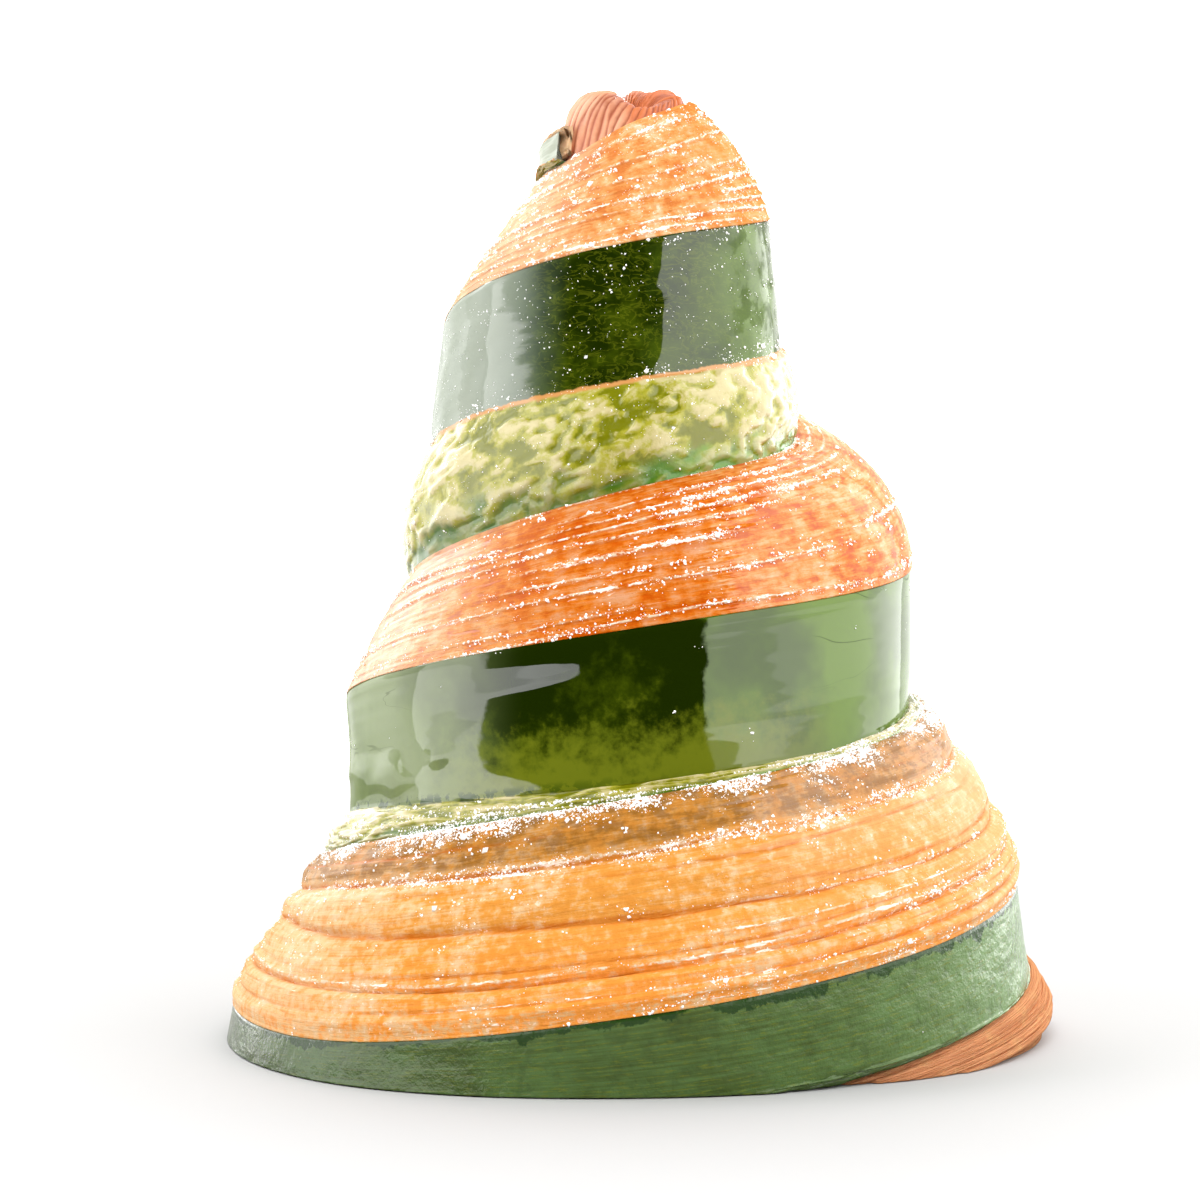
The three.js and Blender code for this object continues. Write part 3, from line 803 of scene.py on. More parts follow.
def green_surface(strip):
    """The green sheet as one closed surface: its outer face from top to tucked end, and a plain inner face."""
    steps = strip.green_steps
    rows = round((GREEN_END - GREEN_START) * steps) + 1
    turn = (GREEN_START + np.arange(rows) / steps)[:, None]
    across = green_columns()
    outer_r, outer_z = settled(*green_point(turn, across + 0 * turn, strip), GREEN_FLOOR, GREEN_INSET)
    inner_across = np.array(GREEN_INNER)[None, :]
    inner_r, inner_z = green_inside(turn, inner_across, outer_r[:, -1:], strip)
    radius, height = np.hstack([outer_r, inner_r]), np.hstack([outer_z, inner_z])
    columns = radius.shape[1]
    points = stood_up(radius, height, turn).reshape(-1, 3)
    index = np.arange(rows * columns).reshape(rows, columns)
    closed = np.hstack([index, index[:, :1]])
    place = np.concatenate([across[0], inner_across[0], [FACE_TOP]])[None, :]
    ends = [index[0][None, :], index[-1][None, ::-1]]
    end_uv = [np.full((1, columns, 2), (GREEN_START, 0.5))] * 2
    blob = np.hstack([blobs(turn, across + 0 * turn), 0 * inner_r])
    return points, [grid_faces(closed), *ends], [grid_uv(turn, place), *end_uv], {"blob": blob}


def around_spline(table, name, swing):
    """A smooth closed curve through a table's values, whose knots are shares of a turn."""
    knots, values = np.array(table["swing"]), np.array(table[name])
    knots = np.concatenate([knots[-3:] - 1, knots, knots[:3] + 1])
    values = np.concatenate([values[-3:], values, values[:3]])
    return spline(knots, values, swing) * MM


def curl_folds(swing, bend):
    """How high the curl's pleats stand, from 0 to 1: powers of a sine whose phase wanders and twists."""
    wander = 0.4 * noise(swing * 23, bend, 21) + 0.25 * noise(swing * 61, bend * 2, 23)
    phase = CURL_PLEATS * (swing + CURL_TWIST * 2 / np.pi * bend) + wander
    strong = 0.55 + 0.45 * noise(np.floor(phase) * 0.37, bend * 0.5, 24)
    return np.abs(np.sin(np.pi * phase)) ** 0.55 * strong


def curl_point(swing, bend):
    """Points of the curl, with how high its pleats stand.

    Over bend 0 to 90 degrees a quarter ellipse rises from base to crest, and from 90 to 180 degrees another
    falls from the crest into the hole. Pleats stand square off it.
    """
    base_r = around_spline(CURL, "base_r", swing)
    crest_r = around_spline(CURL, "crest_r", swing)
    crest_z = around_spline(CURL, "crest_z", swing)
    aside = np.stack([np.cos(-2 * np.pi * swing), np.sin(-2 * np.pi * swing)], -1)
    rise = np.minimum(bend, np.pi / 2)
    fall = np.maximum(bend - np.pi / 2, 0)
    radius = mixed(base_r, crest_r, (1 - np.cos(rise)) ** 1.3)
    height = mixed(CURL_BOTTOM, crest_z, np.sin(rise))
    height = mixed(height, CURL_HOLE[2], 1 - np.cos(fall))
    hole = CURL_HOLE[:2] + CURL_HOLE_R * aside
    flat = mixed(radius[..., None] * aside, hole, np.sin(fall)[..., None])
    fold = curl_folds(swing, bend)
    relief = CURL_PLEAT_RELIEF * (fold - 0.5) * np.sin(bend) ** 0.4
    relief = relief + CURL_LUMP_RELIEF * noise(swing * 90, bend * 3, 22)
    flat = flat + aside * (relief * np.cos(bend))[..., None] + AXIS
    return np.concatenate([flat, (height + relief * np.sin(bend))[..., None]], -1), fold


def curl_surface():
    """The curl as one closed surface: a pleated dome that falls into a small hole, with a flat base."""
    swing = (np.arange(CURL_ROWS) / CURL_ROWS)[:, None]
    bend = np.linspace(0, np.pi, CURL_COLUMNS)[None, :]
    points, fold = curl_point(swing + 0 * bend, bend + 0 * swing)
    rows, columns = fold.shape
    index = np.arange(rows * columns).reshape(rows, columns)
    around = np.vstack([index, index[:1]])
    under, hole = rows * columns, rows * columns + 1
    ends = np.array([(*AXIS, CURL_BOTTOM), CURL_HOLE - (0, 0, CURL_HOLE_DEPTH) + (*AXIS, 0)])
    base = fan(under, around[:-1, 0], around[1:, 0])
    bottom = fan(hole, around[1:, -1], around[:-1, -1])
    points = np.vstack([points.reshape(-1, 3), ends])
    return points, [grid_faces(around[:, ::-1]), base, bottom], {"fold": np.append(fold, (0, 0))}


def strip_places(n):
    """Where a place lies on the strip: its turn, its place across and which way it faces.

    around is its share of its own turn, 0.25 in front. facing is 1 at the right-hand side and -1 on the left.
    """
    turn, across, _ = n.parts(n.strip_uv())
    around = n.add("ShaderNodeMath", {"operation": "FRACT"}, {0: turn})
    facing = n.add("ShaderNodeMath", {"operation": "COSINE"}, {0: turn * (2 * np.pi)})
    return SimpleNamespace(turn=turn, across=across, around=around, facing=facing, leftward=0 - facing)


def dull_front(n, around, right, left, soft):
    """1 on the front of a turn between two edges, where the glaze is thin, with sides as soft as given."""
    return n.between(around, right - soft, right + soft) * (1 - n.between(around, left - soft, left + soft))


def tongue(n, across, middle, reach):
    """1 at a place across the strip, falling to 0 at its reach on both sides."""
    off = across - middle
    return 1 - n.between(off * off, 0.0, reach**2)


def crust_places(n):
    """Where a place lies on the crust, with the values stored there and the crust's parts, each from 0 to 1."""
    at = strip_places(n)
    at.crest, at.crease, at.roll = n.value("crest"), n.value("crease"), n.value("roll")
    at.foot = n.between(at.turn, *CRUST_FOOT)
    at.foot_left = at.foot * n.between(at.turn, *CRUST_FOOT_LEFT)
    at.first = 1 - n.between(at.turn, *CRUST_FIRST)
    at.tail = n.between(at.turn, *CRUST_TAIL)
    at.wet = at.foot * (1 - n.between(at.roll, 0.75, 1.0))
    return at


def crust_noises(n):
    """Noises on the crust: four even ones, and four drawn out along the strip."""
    place, uv = n.place(), n.strip_uv()
    return SimpleNamespace(
        patch=n.noise(place, 120, 3, 0.5),
        mottle=n.noise(place, 480, 4, 0.66),
        fine=n.noise(place, 1000, 3, 0.6),
        grain=n.noise(place, 1900, 2, 0.6),
        fleck=n.noise(n.stretched(uv, (62, 34, 1)), 1.0, 5, 0.7, 0.5),
        streak=n.noise(n.stretched(uv, (9, 72, 1)), 1.0, 4, 0.62),
        layer=n.noise(n.stretched(uv, (40, 110, 1)), 1.0, 3, 0.6),
        film=n.noise(n.stretched(uv, (95, 40, 1)), 1.0, 3, 0.7),
    )


def baked_colour(n, colours, dark, at, by):
    """The crust's ground colour: orange above and golden at the foot, with darker and paler mottles."""
    along = (0.45 - 0.2 * at.first) * by.fleck + 0.15 * by.streak + (0.4 + 0.2 * at.first) * by.mottle
    even = 0.3 * by.mottle + 0.45 * by.fine + 0.25 * by.layer
    tone = at.foot * even + (1 - at.foot) * along + 0.25 * (by.patch - 0.5)
    darker = (1 - n.between(tone, 0.39, 0.51)) * (0.9 - 0.4 * at.first - 0.5 * at.foot)
    paler = n.between(tone + 0.08 * at.foot_left, 0.47, 0.58) * (0.6 + 0.2 * at.foot + 0.2 * at.first)
    palest = n.between(tone + 0.04 * at.foot_left, 0.54, 0.64) * (0.4 + 0.15 * at.first)
    return n.over(
        n.mix(at.foot, colours.orange, colours.golden),
        (at.first * 0.4, colours.peach),
        # Painted light on the lowest rolls of the foot.
        (at.foot * n.between(at.roll, 1.6, 3.2) * 0.7, colours.low_roll_light),
        (darker, dark),
        (paler, colours.peach),
        (palest, colours.cream),
    )


def painted_facing_light(n, colours, base, at, by):
    """Painted light in cream on the left and the foot's sides; painted shade in orange on the first turn's
    right, burnt in front.
    """
    front = dull_front(n, at.around, 0.2 + 0.15 * (by.streak - 0.5), 0.32 + 0.4 * (by.fleck - 0.5), 0.01)
    return n.over(
        base,
        (n.between(at.facing, 0.2, 0.75) * at.first * 0.4, colours.orange),
        (n.between(at.leftward, 0.2, 0.9) * (0.3 + 0.15 * at.first) * (1 - at.foot), colours.cream),
        (n.between(at.facing * at.facing, 0.3, 0.9) * at.foot * 0.2, colours.cream),
        (front * 0.35 * (1 - at.foot) * (1 - at.first), colours.burnt),
    )


def layered_colour(n, colours, base, dark, at, by):
    """A base colour with syrup on the foot's ledge, creases darkened with painted shade over their browning,
    and cream edges of the layers as painted highlights, partly sugar.
    """
    soaked = at.wet * (0.4 + 0.45 * n.between(by.mottle + 0.6 * (by.fleck - 0.5), 0.38, 0.62))
    broken = 0.3 + 0.7 * n.between(by.fleck, 0.42, 0.6)
    # Painted shade in the broken creases, partly their own browning.
    crease_shade = at.crease * broken * (0.5 - 0.1 * at.first + 0.5 * at.foot)
    return n.over(
        base,
        (soaked, colours.syrup),
        (crease_shade, n.mix(at.foot * 0.5, dark, colours.burnt)),
        # Painted highlights: cream on the layers' crests, partly sugar.
        (n.between(at.crest, 0.3, 0.8) * n.between(by.grain + by.fleck, 0.92, 1.15), colours.cream),
    )


def tail_colour(n, colours, by):
    """The dry tail's colour: dark streaks along it, and pale mottles."""
    dark = n.between(0.5 * by.streak + 0.5 * by.layer, 0.42, 0.58)
    return n.over(
        colours.tail,
        (dark * 0.75, colours.bark),
        (n.between(by.mottle, 0.5, 0.7) * 0.5, colours.peach),
    )


def crust_coat(n, at, by, lying):
    """How thickly the crust is glazed: thin in front, under sugar, on layer edges and at the sides."""
    ragged = 0.5 * (by.streak - 0.5) + 0.5 * (by.fleck - 0.5)
    dull = dull_front(n, at.around, 0.205 + 0.12 * ragged, 0.36 + 0.3 * ragged, 0.002)
    low_rolls = at.foot * n.between(at.roll, 1.2, 2.0)
    parts = (1 - at.tail) * (1 - 0.65 * low_rolls) * (1 - 0.6 * at.foot_left) * (1 - 0.85 * at.first)
    sides = (1 - 0.65 * n.between(at.facing, 0.4, 1.0)) * (1 - 0.7 * n.between(at.leftward, 0.8, 1.0))
    return 0.75 * parts * sides * (1 - 0.6 * at.crest) * (1 - lying) * (1 - dull)


def crust_material(colours):
    """Baked laminated dough: orange layers, golden rolls at the foot, dark creases partly of painted shade,
    cream edges as painted highlights, a dry tail.
    """
    material = bpy.data.materials.new("baked_crust")
    n = Nodes(material)
    at, by = crust_places(n), crust_noises(n)
    floury = n.between(by.grain, 0.6, 0.68) * n.between(by.patch + 0.6 * (by.mottle - 0.5), 0.46, 0.6)
    film = by.film + 0.04 * at.first + 0.2 * at.crest + 0.5 * (by.patch - 0.5)
    lying = n.between(film, 0.7, 0.78) * (1 - at.wet)
    # The darkest colour: darker mottles, and painted shade in the creases.
    dark = n.mix(at.foot, colours.burnt, colours.amber)
    base = baked_colour(n, colours, dark, at, by)
    base = painted_facing_light(n, colours, base, at, by)
    base = layered_colour(n, colours, base, dark, at, by)
    base = n.over(
        base,
        (floury * (at.foot + at.first) * (1 - at.wet) * 0.3, colours.dusting),
        (lying * 0.8, colours.dusting),
        (at.tail, tail_colour(n, colours, by)),
    )
    height = by.mottle * 0.7 + by.fleck * 0.7 + by.grain * 0.2 + by.streak * 0.35
    shader = n.shader(
        Base_Color=base,
        Roughness=0.45 + 0.3 * by.mottle,
        Specular_IOR_Level=0.0,
        Coat_Weight=crust_coat(n, at, by, lying),
        Coat_Roughness=0.05,
        Subsurface_Weight=0.1,
        Subsurface_Radius=(1.0, 0.45, 0.2),
        Subsurface_Scale=1.5 * MM,
        Normal=n.bump(height, 0.35 * MM),
    )
    n.finish(shader)
    return material


def green_places(n):
    """Where a place lies on the green sheet, with the sheet's parts, each from 0 to 1."""
    at = strip_places(n)
    off = at.around - DARK_MIDDLE
    at.aside = n.between(off * off, 0.004, 0.025)
    at.rim = n.between(at.leftward, 0.8, 0.97)
    at.later = n.between(at.turn, *GREEN_FIRST)
    at.first = 1 - at.later
    at.satin = n.between(at.turn, *GREEN_SATIN)
    at.upper = 1 - n.between(at.turn, *PALE_ENDS)
    return at


def green_noises(n):
    """Noises on the green sheet: three even ones, worms, and five drawn out along the strip."""
    place, uv = n.place(), n.strip_uv()
    slant = n.add("ShaderNodeMapping", None, {"Vector": uv, "Rotation": (0, 0, 0.35), "Scale": (34, 4, 1)})
    return SimpleNamespace(
        patch=n.noise(place, 95, 3),
        wet=n.noise(place, 150, 3),
        speck=n.noise(place, 560, 4, 0.65),
        worm=n.noise(n.stretched(place, (1, 1, 2.2)), 420, 3, 0.6, 0.8),
        streak=n.noise(n.stretched(uv, (20, 26, 1)), 1.0, 4, 0.65),
        rip=n.noise(n.stretched(uv, (9, 5, 1)), 1.0, 5, 0.68),
        fold=n.noise(slant, 1.0, 4, 0.65, 0.4),
        crack=n.noise(n.stretched(uv, (8, 2.4, 1)), 1.0, 3, 0.5, 0.3),
        fleck=n.noise(n.stretched(uv, (130, 42, 1)), 1.0, 3, 0.65),
    )


def glaze_veil(n, at, by):
    """1 where the glaze is thick enough to mirror the studio, and 0 in front, between two torn edges."""
    torn = at.first * (by.rip - 0.5) * 0.1 + (by.patch - 0.5) * 0.04 + (by.speck - 0.5) * 0.012
    right = mixed(0.22, 0.243, at.first) - 0.014 * n.between(at.across, 0.5, 1.0) * at.later + torn
    tongues = 0.055 * tongue(n, at.across, 0.22, 0.11) + 0.036 * n.between(at.across, 0.8, 0.97)
    left = mixed(0.335, 0.375, at.first) - tongues * at.later - 0.035 * at.across * at.first + 0.8 * torn
    return 1 - dull_front(n, at.around, right, left, 0.002 + 0.004 * at.first)


def glaze_marks(n, at, by):
    """Folds on the first turn's right and fine cracks on the sides of the later turns, each from 0 to 1."""
    fold = n.between(by.fold, 0.48, 0.6) * at.first * n.between(at.facing, 0.43, 0.68)
    crack = n.hairline(by.crack, 0.004) * at.later * at.aside
    return fold, crack * n.between(by.patch, 0.45, 0.55) * (1 - n.between(at.across, 0.45, 0.65))


def dark_face(n, colours, veil, at, by):
    """The dark face: deep green in front, olive below, with painted light in leaf green on the right and a
    painted pale sheen on the left.
    """
    depth = by.patch + 0.5 * (by.speck - 0.5) + 0.3 * (at.across - 0.55) * at.later
    # Painted sheen: lighter where the glaze mirrors the lamps, beside the dull front.
    veiled_sheen = veil * n.between(at.facing, -0.1, 0.1) * (0.75 - 0.6 * at.first)
    # Painted light: leaf green away from the dark middle and under the mirrored glaze.
    painted_side_light = (at.aside + veiled_sheen * (1 - at.aside)) * (1 - 0.2 * at.first)
    low = n.between(at.across + 0.6 * (by.patch - 0.5) + 0.9 * (by.speck - 0.5), 0.5, 0.95) * at.later
    # Painted reflection: a pale sheen over the left side, where the glaze mirrors the left lamps.
    thick = n.between(at.leftward, 0.37, 0.73) * (0.6 + 0.4 * n.between(by.patch, 0.35, 0.6))
    return n.over(
        n.mix(n.between(depth, 0.40, 0.66), colours.deep, colours.moss),
        (n.hairline(by.worm, 0.035) * at.first * 0.28, colours.vein),
        (painted_side_light * (0.5 + 0.6 * n.between(by.patch, 0.35, 0.65)), colours.leaf),
        (low * (1 - at.aside) * 0.85, colours.vein),
        (thick * 0.9, n.mix(at.first, colours.middle_left_sheen, colours.first_left_sheen)),
        # Painted reflection: a pale sheen on the first turn's left.
        (n.between(at.leftward, 0.5, 0.8) * at.first * 0.5, colours.tab_and_left_sheen),
    )


def satin_face(n, colours, at, by):
    """The satin face at the foot: streaky sage with flecks, painted light at the right, painted shade at the
    left and as a dark upper edge under the crust.
    """
    # Painted shade: a dark line along the upper edge, under the crust's overhanging foot.
    line = 1 - n.between(at.across + 0.35 * (by.speck - 0.5) + 0.5 * (by.patch - 0.5), 0.06, 0.09)
    return n.over(
        colours.sage,
        (n.between(0.5 * by.streak + 0.5 * by.patch, 0.38, 0.62) * 0.8, colours.moss),
        # Painted light: milky, lighter at the right.
        ((1 - n.between(at.turn, 3.04, 3.2)) * 0.75, colours.milky),
        (n.between(by.fleck, 0.53, 0.65) * 0.55, colours.vein),
        ((1 - n.between(by.speck, 0.36, 0.5)) * 0.2, colours.deep),
        (line * 0.9, colours.algae),
        # Painted shade: darker at the left.
        (n.between(at.turn, 3.26, 3.40) * 0.35, colours.deep),
    )


def pale_band(n, colours, at, by):
    """The pale band: olive where it is wet, straw and cream on its blobs, fresh green at its lower edge, with
    painted light on its sides and right.
    """
    blob = n.value("blob")
    # The aside term is painted light: creamier on the sides.
    tone = 0.8 * blob + 1.9 * (by.speck - 0.5) + 1.0 * (by.wet - 0.5) + 0.4 * at.aside + 0.1
    damp = n.between(at.across + 0.8 * (by.wet - 0.5) + 0.4 * (by.speck - 0.5), 1.7, 1.98)
    # Painted light: the lower edge greener towards the right, mossier on the left.
    painted_right_light = 0.4 + 0.6 * n.between(at.facing, -0.19, 0.31)
    return n.over(
        colours.olive,
        (n.between(tone, 0.1, 0.6), colours.straw),
        (n.between(tone, 0.55, 1.0), colours.cream),
        (n.hairline(blob, 0.16) * n.between(by.speck, 0.45, 0.6) * 0.7, colours.cream),
        (damp * (1 - 0.5 * blob), n.mix(painted_right_light, colours.moss, colours.fresh)),
    )


def green_colour(n, colours, face, edge, at, by):
    """The sheet's colour: its face, a line of plain dough under the first turn's, and the pale band below."""
    thin = n.between(at.turn, 1.02, 1.2)
    joint = tongue(n, at.across, 1.02, 0.09) * n.between(by.speck, 0.5, 0.56) * n.between(at.turn, 2.2, 2.35)
    return n.over(
        face,
        (n.between(edge, 0.985, 1.0) * at.first, colours.line),
        (n.between(edge + 0.055 * thin, 1.07, 1.1) * at.upper, pale_band(n, colours, at, by)),
        (joint * at.upper * 0.85, colours.algae),
    )


def green_height(n, on_pale, at, by):
    """The sheet's bump: worms on the first turn, specks on the pale band, and an uneven satin face."""
    specks = by.speck * (0.06 + 1.2 * at.satin + 0.8 * on_pale)
    right_end = 2.0 * by.speck * at.satin * (1 - n.between(at.turn, 2.98, 3.06))
    return 0.12 * by.worm * at.first + specks + 3.0 * by.patch * at.satin + right_end


def green_material(colours):
    """Green dough under glaze: a deep glossy face, a satin one at the foot, and a pale band between turns."""
    material = bpy.data.materials.new("green_glaze")
    n = Nodes(material)
    at, by = green_places(n), green_noises(n)
    edge = at.across + 0.06 * (by.speck - 0.5)
    on_pale = n.between(edge, 1.0, 1.1) * at.upper
    veil = glaze_veil(n, at, by)
    fold, crack = glaze_marks(n, at, by)
    face = n.over(
        dark_face(n, colours, veil, at, by),
        (fold * 0.3, colours.deep),
        (crack * 0.6, colours.deep),
        (at.satin, satin_face(n, colours, at, by)),
        (1 - n.between(at.turn, *TAB_ENDS), colours.tab_and_left_sheen),
    )
    base = green_colour(n, colours, face, edge, at, by)
    bump = n.bump(green_height(n, on_pale, at, by), 0.2 * MM)
    coat = veil * (1 - 0.5 * crack) * (1 - 0.55 * fold) * (0.87 + 0.13 * at.first)
    coat = coat * (1 - 0.35 * n.between(at.facing, 0.3, 0.85)) * (1 - 0.7 * at.rim)
    glaze = n.shader(
        Base_Color=base,
        Roughness=0.5,
        Specular_IOR_Level=0.0,
        Coat_Weight=coat,
        Coat_Roughness=0.04,
        Normal=bump,
    )
    wet_shine = n.shader(
        Base_Color=base,
        Roughness=0.1 + 0.04 * at.satin + 0.12 * at.satin * by.speck,
        Specular_IOR_Level=0.28,
        Coat_Weight=0.3 * on_pale,
        Coat_Roughness=0.06,
        Normal=bump,
    )
    shining = at.satin + on_pale * (1 - at.satin) * (1 - 0.7 * at.rim)
    n.finish(n.add("ShaderNodeMixShader", None, {0: shining, 1: glaze, 2: wet_shine}))
    return material


def curl_material(colours):
    """The curl's dry skin: pinkish brown crowns, folds darkened with painted shade, and orange inside its hole.
    """
    material = bpy.data.materials.new("curl_skin")
    n = Nodes(material)
    place = n.place()
    fold = n.value("fold")
    mottle = n.noise(place, 900, 4, 0.6)
    patch = n.noise(place, 260, 2)
    aside, _, _ = n.parts(place)
    inside = n.between(aside + 2 * MM * (patch - 0.5), -3.2 * MM, -1.2 * MM)
    skin = n.mix(inside, n.mix(n.between(patch, 0.4, 0.65), colours.skin, colours.pale), colours.inside)
    # Painted shade: the fold colour darkens the low places between the pleats.
    base = n.mix(n.between(fold + 0.25 * (mottle - 0.5), 0.08, 0.48), colours.fold, skin)
    n.finish(n.shader(Base_Color=base, Roughness=0.4 + 0.25 * mottle, Normal=n.bump(mottle, 0.12 * MM)))
    return material


def sugar_material(colours):
    """Icing sugar: white grains that scatter light, slightly uneven."""
    material = bpy.data.materials.new("icing_sugar")
    n = Nodes(material)
    tone = n.noise(n.place(), 900, 2)
    base = n.mix(tone, colours.colour, (0.97, 0.96, 0.95))
    n.finish(n.shader(Base_Color=base, Roughness=0.7 + 0.2 * tone))
    return material


def grain_meshes(centres, half, draw):
    """Points and faces of one stretched, turned octahedron at each centre, as one array each."""
    number = len(centres)
    frames, _ = np.linalg.qr(draw.normal(size=(number, 3, 3)))
    frames = frames * np.sign(np.linalg.det(frames))[:, None, None]
    stretch = half[:, None] * draw.uniform(0.7, 1.3, (number, 3))
    points = np.einsum("nkj,nij->nki", OCTAHEDRON[None] * stretch[:, None, :], frames) + centres[:, None, :]
    faces = OCTAHEDRON_FACES[None] + len(OCTAHEDRON) * np.arange(number)[:, None, None]
    return points.reshape(-1, 3), faces.reshape(-1, 3)


def crust_sugar(turn, across, strip):
    """How readily sugar lies at places on the crust: on layer edges, most at the foot's upper edge."""
    _, crest, _, roll = crust_relief(turn, across, strip)
    area = eased(noise(turn * 11, across * 5, 32), -0.6, 0.5)
    ledge = bell(across - 0.03, 0.07) * eased(turn, 2.8, 3.0) * (1 - 0.6 * eased(turn, 3.35, 3.5))
    ledge = ledge * eased(noise(turn * 55, across * 9, 34), -0.6, 0.5)
    brow = bell(roll - 1.02, 0.07) * eased(turn, 2.9, 3.05) * area
    tail = 1 - eased(turn, 3.6, 3.75)
    first = 1 - eased(turn, 1.5, 1.9)
    lying = 0.005 + 0.008 * first + (0.8 - 0.35 * first) * crest**2 * area + 0.8 * ledge + 0.5 * brow
    return lying * tail * eased(turn, 0.75, 1.0)


def green_sugar(turn, across, fineness):
    """How readily sugar lies at places on the green sheet: sparse specks, most at the dark face's foot.

    The first turn holds as many times more of it as the sugar is fine.
    """
    area = eased(noise(turn * 30, across * 6, 33), -0.3, 0.6)
    foot = bell(across - 0.98, 0.06)
    top = bell(across, 0.03) * bell(turn - 1.12, 0.12)
    first = 1 - eased(turn, *GREEN_FIRST)
    third = eased(turn, 2.6, 2.8)
    ledge = eased(across, 1.1, 1.7) * bell(turn - 2.2, 0.2)
    lying = mixed(0.0008, 0.01 * fineness, first) + (0.45 * foot * first + 0.7 * ledge) * area + 0.8 * top
    return lying * (1 - 0.95 * third) * (across < 1.95)


def strewn(face, readily, setting, tries, usual, sugar, draw):
    """Turns and places across where sugar lies on one face: clumps round random seeds.

    Seeds are kept by how readily sugar lies there, and by the radius, so that all turns are strewn alike. Each
    clump has a random number of grains, bell-spread along and across the strip.
    """
    turn = draw.uniform(*face.turns, tries)
    across = draw.uniform(*face.across, tries)
    keep = draw.uniform(0, 1, tries) < readily(turn, across, setting) * (edges(turn).top_r / FULL_R)
    turn, across = turn[keep], across[keep]
    number = 1 + draw.exponential(usual, len(turn)).astype(int)
    turn, across = np.repeat(turn, number), np.repeat(across, number)
    along = draw.normal(0, sugar.along, len(turn)) / (2 * np.pi * edges(turn).top_r)
    aside = draw.normal(0, sugar.aside, len(turn)) / face.width
    return turn + along, np.clip(across + aside, *face.within)


def sugar_places(strip, sugar, number, usual, fineness, draw):
    """Points where sugar lies: on the crust, in smaller clumps on the green sheet, and on the curl."""
    tries = number * TRIES
    turn, across = strewn(CRUST_SUGAR, crust_sugar, strip, tries, usual, sugar, draw)
    radius, height, _ = crust_point(turn, across, strip)
    on_crust = stood_up(radius, height, turn)
    turn, across = strewn(GREEN_SUGAR, green_sugar, fineness, tries, usual / 3, sugar, draw)
    radius, height = green_point(turn, across, strip)
    on_green = stood_up(radius, height, turn)
    few = number // CURL_SUGAR
    on_curl, _ = curl_point(draw.normal(*CURL_SUGAR_SWING, few), draw.normal(*CURL_SUGAR_BEND, few))
    places = np.vstack([on_crust, on_green, on_curl])
    places = places[places[:, 2] > LOWEST_SUGAR]
    return draw.permutation(places)[:number]


def backdrop():
    """The pale floor: a profile in Y and Z, flat and then a quarter circle up into a wall, run along X."""
    bend = np.linspace(0, np.pi / 2, FLOOR_BEND_STEPS)
    wall_y = FLOOR_BACK + FLOOR_BEND_R
    y = np.concatenate([[FLOOR_FRONT], FLOOR_BACK + FLOOR_BEND_R * np.sin(bend), [wall_y]])
    z = np.concatenate([[0.0], FLOOR_BEND_R * (1 - np.cos(bend)), [WALL_TOP]]) - FLOOR_DROP
    points = np.concatenate([np.stack([np.full_like(y, x), y, z], -1) for x in FLOOR_SIDES])
    index = np.arange(len(points)).reshape(2, -1)
    return mesh_object("floor", points, [grid_faces(index)])


def floor_material(colours):
    """A matt pale floor that glows towards the back and the sides, where the lamps don't reach."""
    material = bpy.data.materials.new("pale_floor")
    n = Nodes(material)
    aside, back, _ = n.parts(n.place())
    glow = n.between(back, 0.05, 0.9)
    side = n.between(aside * aside, 0.05, 0.2) * 0.4
    glow = glow + side - glow * side
    shader = n.shader(
        Base_Color=as_colour(colours.floor_colour),
        Roughness=0.8,
        Specular_IOR_Level=0.1,
        Emission_Color=n.mix(glow, (0.0, 0.0, 0.0), (1.0, 1.0, 1.0)),
        Emission_Strength=2.4,
    )
    n.finish(shader)
    return material


def softbox(name, place, target, sides, energy, mirrored):
    """An area light that looks from a place at a target. It lights what it reaches, or only shows in gloss."""
    light = bpy.data.lights.new(name, "AREA")
    light.shape = "RECTANGLE"
    light.size, light.size_y = sides
    light.energy = energy
    lamp = bpy.data.objects.new(name, light)
    lamp.location = place
    lamp.visible_camera = False
    lamp.visible_diffuse = not mirrored
    lamp.visible_glossy = mirrored
    lamp.rotation_euler = (Vector(target) - Vector(place)).to_track_quat("-Z", "Y").to_euler()
    bpy.context.scene.collection.objects.link(lamp)


def studio_camera(settings):
    """A level camera in front of the pastry, a little to the left of its axis."""
    camera = bpy.data.objects.new("camera", bpy.data.cameras.new("camera"))
    camera.data.lens = settings.lens
    camera.data.sensor_width = SENSOR_WIDTH
    camera.location = (AXIS[0] - settings.aside, AXIS[1] - settings.distance, settings.height)
    camera.rotation_euler = (np.pi / 2, 0, 0)
    bpy.context.scene.collection.objects.link(camera)
    return camera


def studio_world():
    """Surroundings that are white to the camera, dark in front and pale behind, and brighter there in gloss."""
    world = bpy.data.worlds.new("studio")
    n = Nodes(world)
    _, behind, above = n.parts(n.add("ShaderNodeTexCoord", output="Generated"))
    lighting = 0.04 + 1.0 * n.between(behind, 0.0, 0.6) + 0.1 * n.between(above, 0.25, 0.8)
    mirrored = 0.03 + 1.6 * n.between(behind, 0.0, 0.8)
    shiny = n.add("ShaderNodeLightPath", output="Is Glossy Ray")
    seen = n.add("ShaderNodeLightPath", output="Is Camera Ray")
    strength = seen + (1 - seen) * (lighting + shiny * (mirrored - lighting))
    back = n.add("ShaderNodeBackground", None, {"Color": (1, 1, 1, 1), "Strength": strength})
    n.add("ShaderNodeOutputWorld", None, {"Surface": back})
    return world


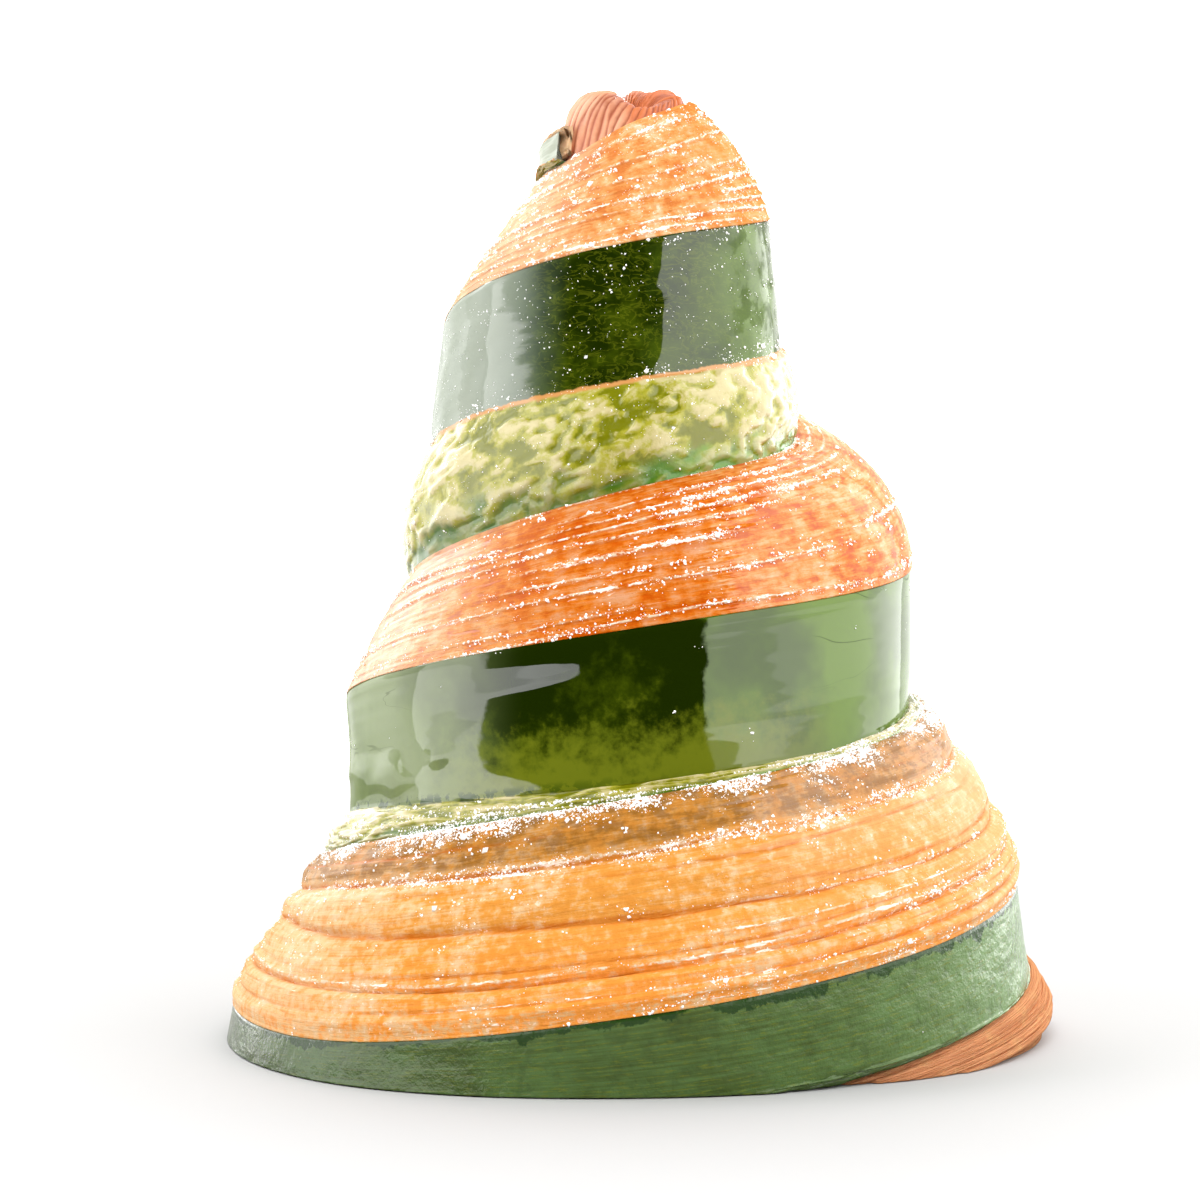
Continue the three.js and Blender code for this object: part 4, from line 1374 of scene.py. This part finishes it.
class PASTRY_OT_laminated_dough(bpy.types.Operator):
    """Makes the plain laminated dough with its baked layers"""

    bl_idname = "pastry.laminated_dough"
    bl_label = "Laminated dough"

    def execute(self, context):
        scene = context.scene
        piece = mesh_object("laminated_dough", *dough_surface(scene.pastry_strip))
        piece.data.materials.append(crust_material(scene.pastry_crust))
        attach(piece, "root")
        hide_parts("plain_dough")
        return {"FINISHED"}


class PASTRY_OT_green_sheet(bpy.types.Operator):
    """Makes the green dough sheet on the strip's outer face"""

    bl_idname = "pastry.green_sheet"
    bl_label = "Green sheet"

    def execute(self, context):
        scene = context.scene
        piece = mesh_object("green_sheet", *green_surface(scene.pastry_strip))
        piece.data.materials.append(green_material(scene.pastry_green))
        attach(piece, "root")
        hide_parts("green_dough")
        return {"FINISHED"}


class PASTRY_OT_tip_curl(bpy.types.Operator):
    """Makes the pleated curl at the tip"""

    bl_idname = "pastry.tip_curl"
    bl_label = "Tip curl"

    def execute(self, context):
        points, faces, values = curl_surface()
        piece = mesh_object("tip_curl", points, faces, None, values)
        piece.data.materials.append(curl_material(context.scene.pastry_curl))
        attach(piece, "root")
        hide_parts("plain_dough")
        return {"FINISHED"}


class PASTRY_OT_icing_sugar(bpy.types.Operator):
    """Strews loose sugar dust and small sugar lumps over the pastry"""

    bl_idname = "pastry.icing_sugar"
    bl_label = "Icing sugar"

    def execute(self, context):
        scene = context.scene
        sugar = scene.pastry_sugar
        draw = np.random.default_rng(sugar.seed)
        material = sugar_material(sugar)
        dust = "sugar_dust", sugar.grains, sugar.grain, sugar.dust_clump, sugar.fineness
        lumps = "sugar_lumps", sugar.lumps, sugar.lump, sugar.lump_clump, 1.0
        for name, number, half, usual, fineness in (dust, lumps):
            centres = sugar_places(scene.pastry_strip, sugar, number, usual, fineness, draw)
            points, faces = grain_meshes(centres, half * draw.lognormal(0, 0.4, len(centres)), draw)
            piece = mesh_object(name, points, [faces])
            piece.data.materials.append(material)
            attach(piece, "root")
        return {"FINISHED"}


class PASTRY_OT_stage(bpy.types.Operator):
    """Sets up the floor, the lights, the world and the camera"""

    bl_idname = "pastry.stage"
    bl_label = "Stage"

    def execute(self, context):
        scene = context.scene
        settings = scene.pastry_stage
        floor = backdrop()
        floor.data.materials.append(floor_material(settings))
        for name, place, target, sides, setting, mirrored in LAMPS:
            softbox(name, place, target, sides, getattr(settings, setting), mirrored)
        scene.world = studio_world()
        scene.camera = studio_camera(settings)
        scene.view_settings.view_transform = "Standard"
        return {"FINISHED"}


class PASTRY_PT_sidebar(bpy.types.Panel):
    """Lists the pastry's pieces"""

    bl_label = "Christmas tree pastry"
    bl_idname = "PASTRY_PT_sidebar"
    bl_space_type = "VIEW_3D"
    bl_region_type = "UI"
    bl_category = "Pastry"

    def draw(self, context):
        for operator in OPERATORS:
            self.layout.operator(operator.bl_idname)
        for name in SETTINGS:
            group = getattr(context.scene, name)
            box = self.layout.box()
            for key in group.__annotations__:
                box.prop(group, key)


OPERATORS = (
    PASTRY_OT_laminated_dough,
    PASTRY_OT_green_sheet,
    PASTRY_OT_tip_curl,
    PASTRY_OT_icing_sugar,
    PASTRY_OT_stage,
)
SETTINGS = {
    "pastry_strip": StripSettings,
    "pastry_crust": CrustColours,
    "pastry_green": GreenColours,
    "pastry_curl": CurlColours,
    "pastry_sugar": SugarSettings,
    "pastry_stage": StageSettings,
}
CLASSES = (*SETTINGS.values(), *OPERATORS, PASTRY_PT_sidebar)


def register():
    for cls in CLASSES:
        bpy.utils.register_class(cls)
    for name, group in SETTINGS.items():
        setattr(bpy.types.Scene, name, PointerProperty(type=group))


def unregister():
    for name in SETTINGS:
        delattr(bpy.types.Scene, name)
    for cls in reversed(CLASSES):
        bpy.utils.unregister_class(cls)


def main():
    """Makes all pieces and the stage, in order."""
    register()
    for operator in OPERATORS:
        group, name = operator.bl_idname.split(".")
        getattr(getattr(bpy.ops, group), name)()


if __name__ == "__main__":
    main()
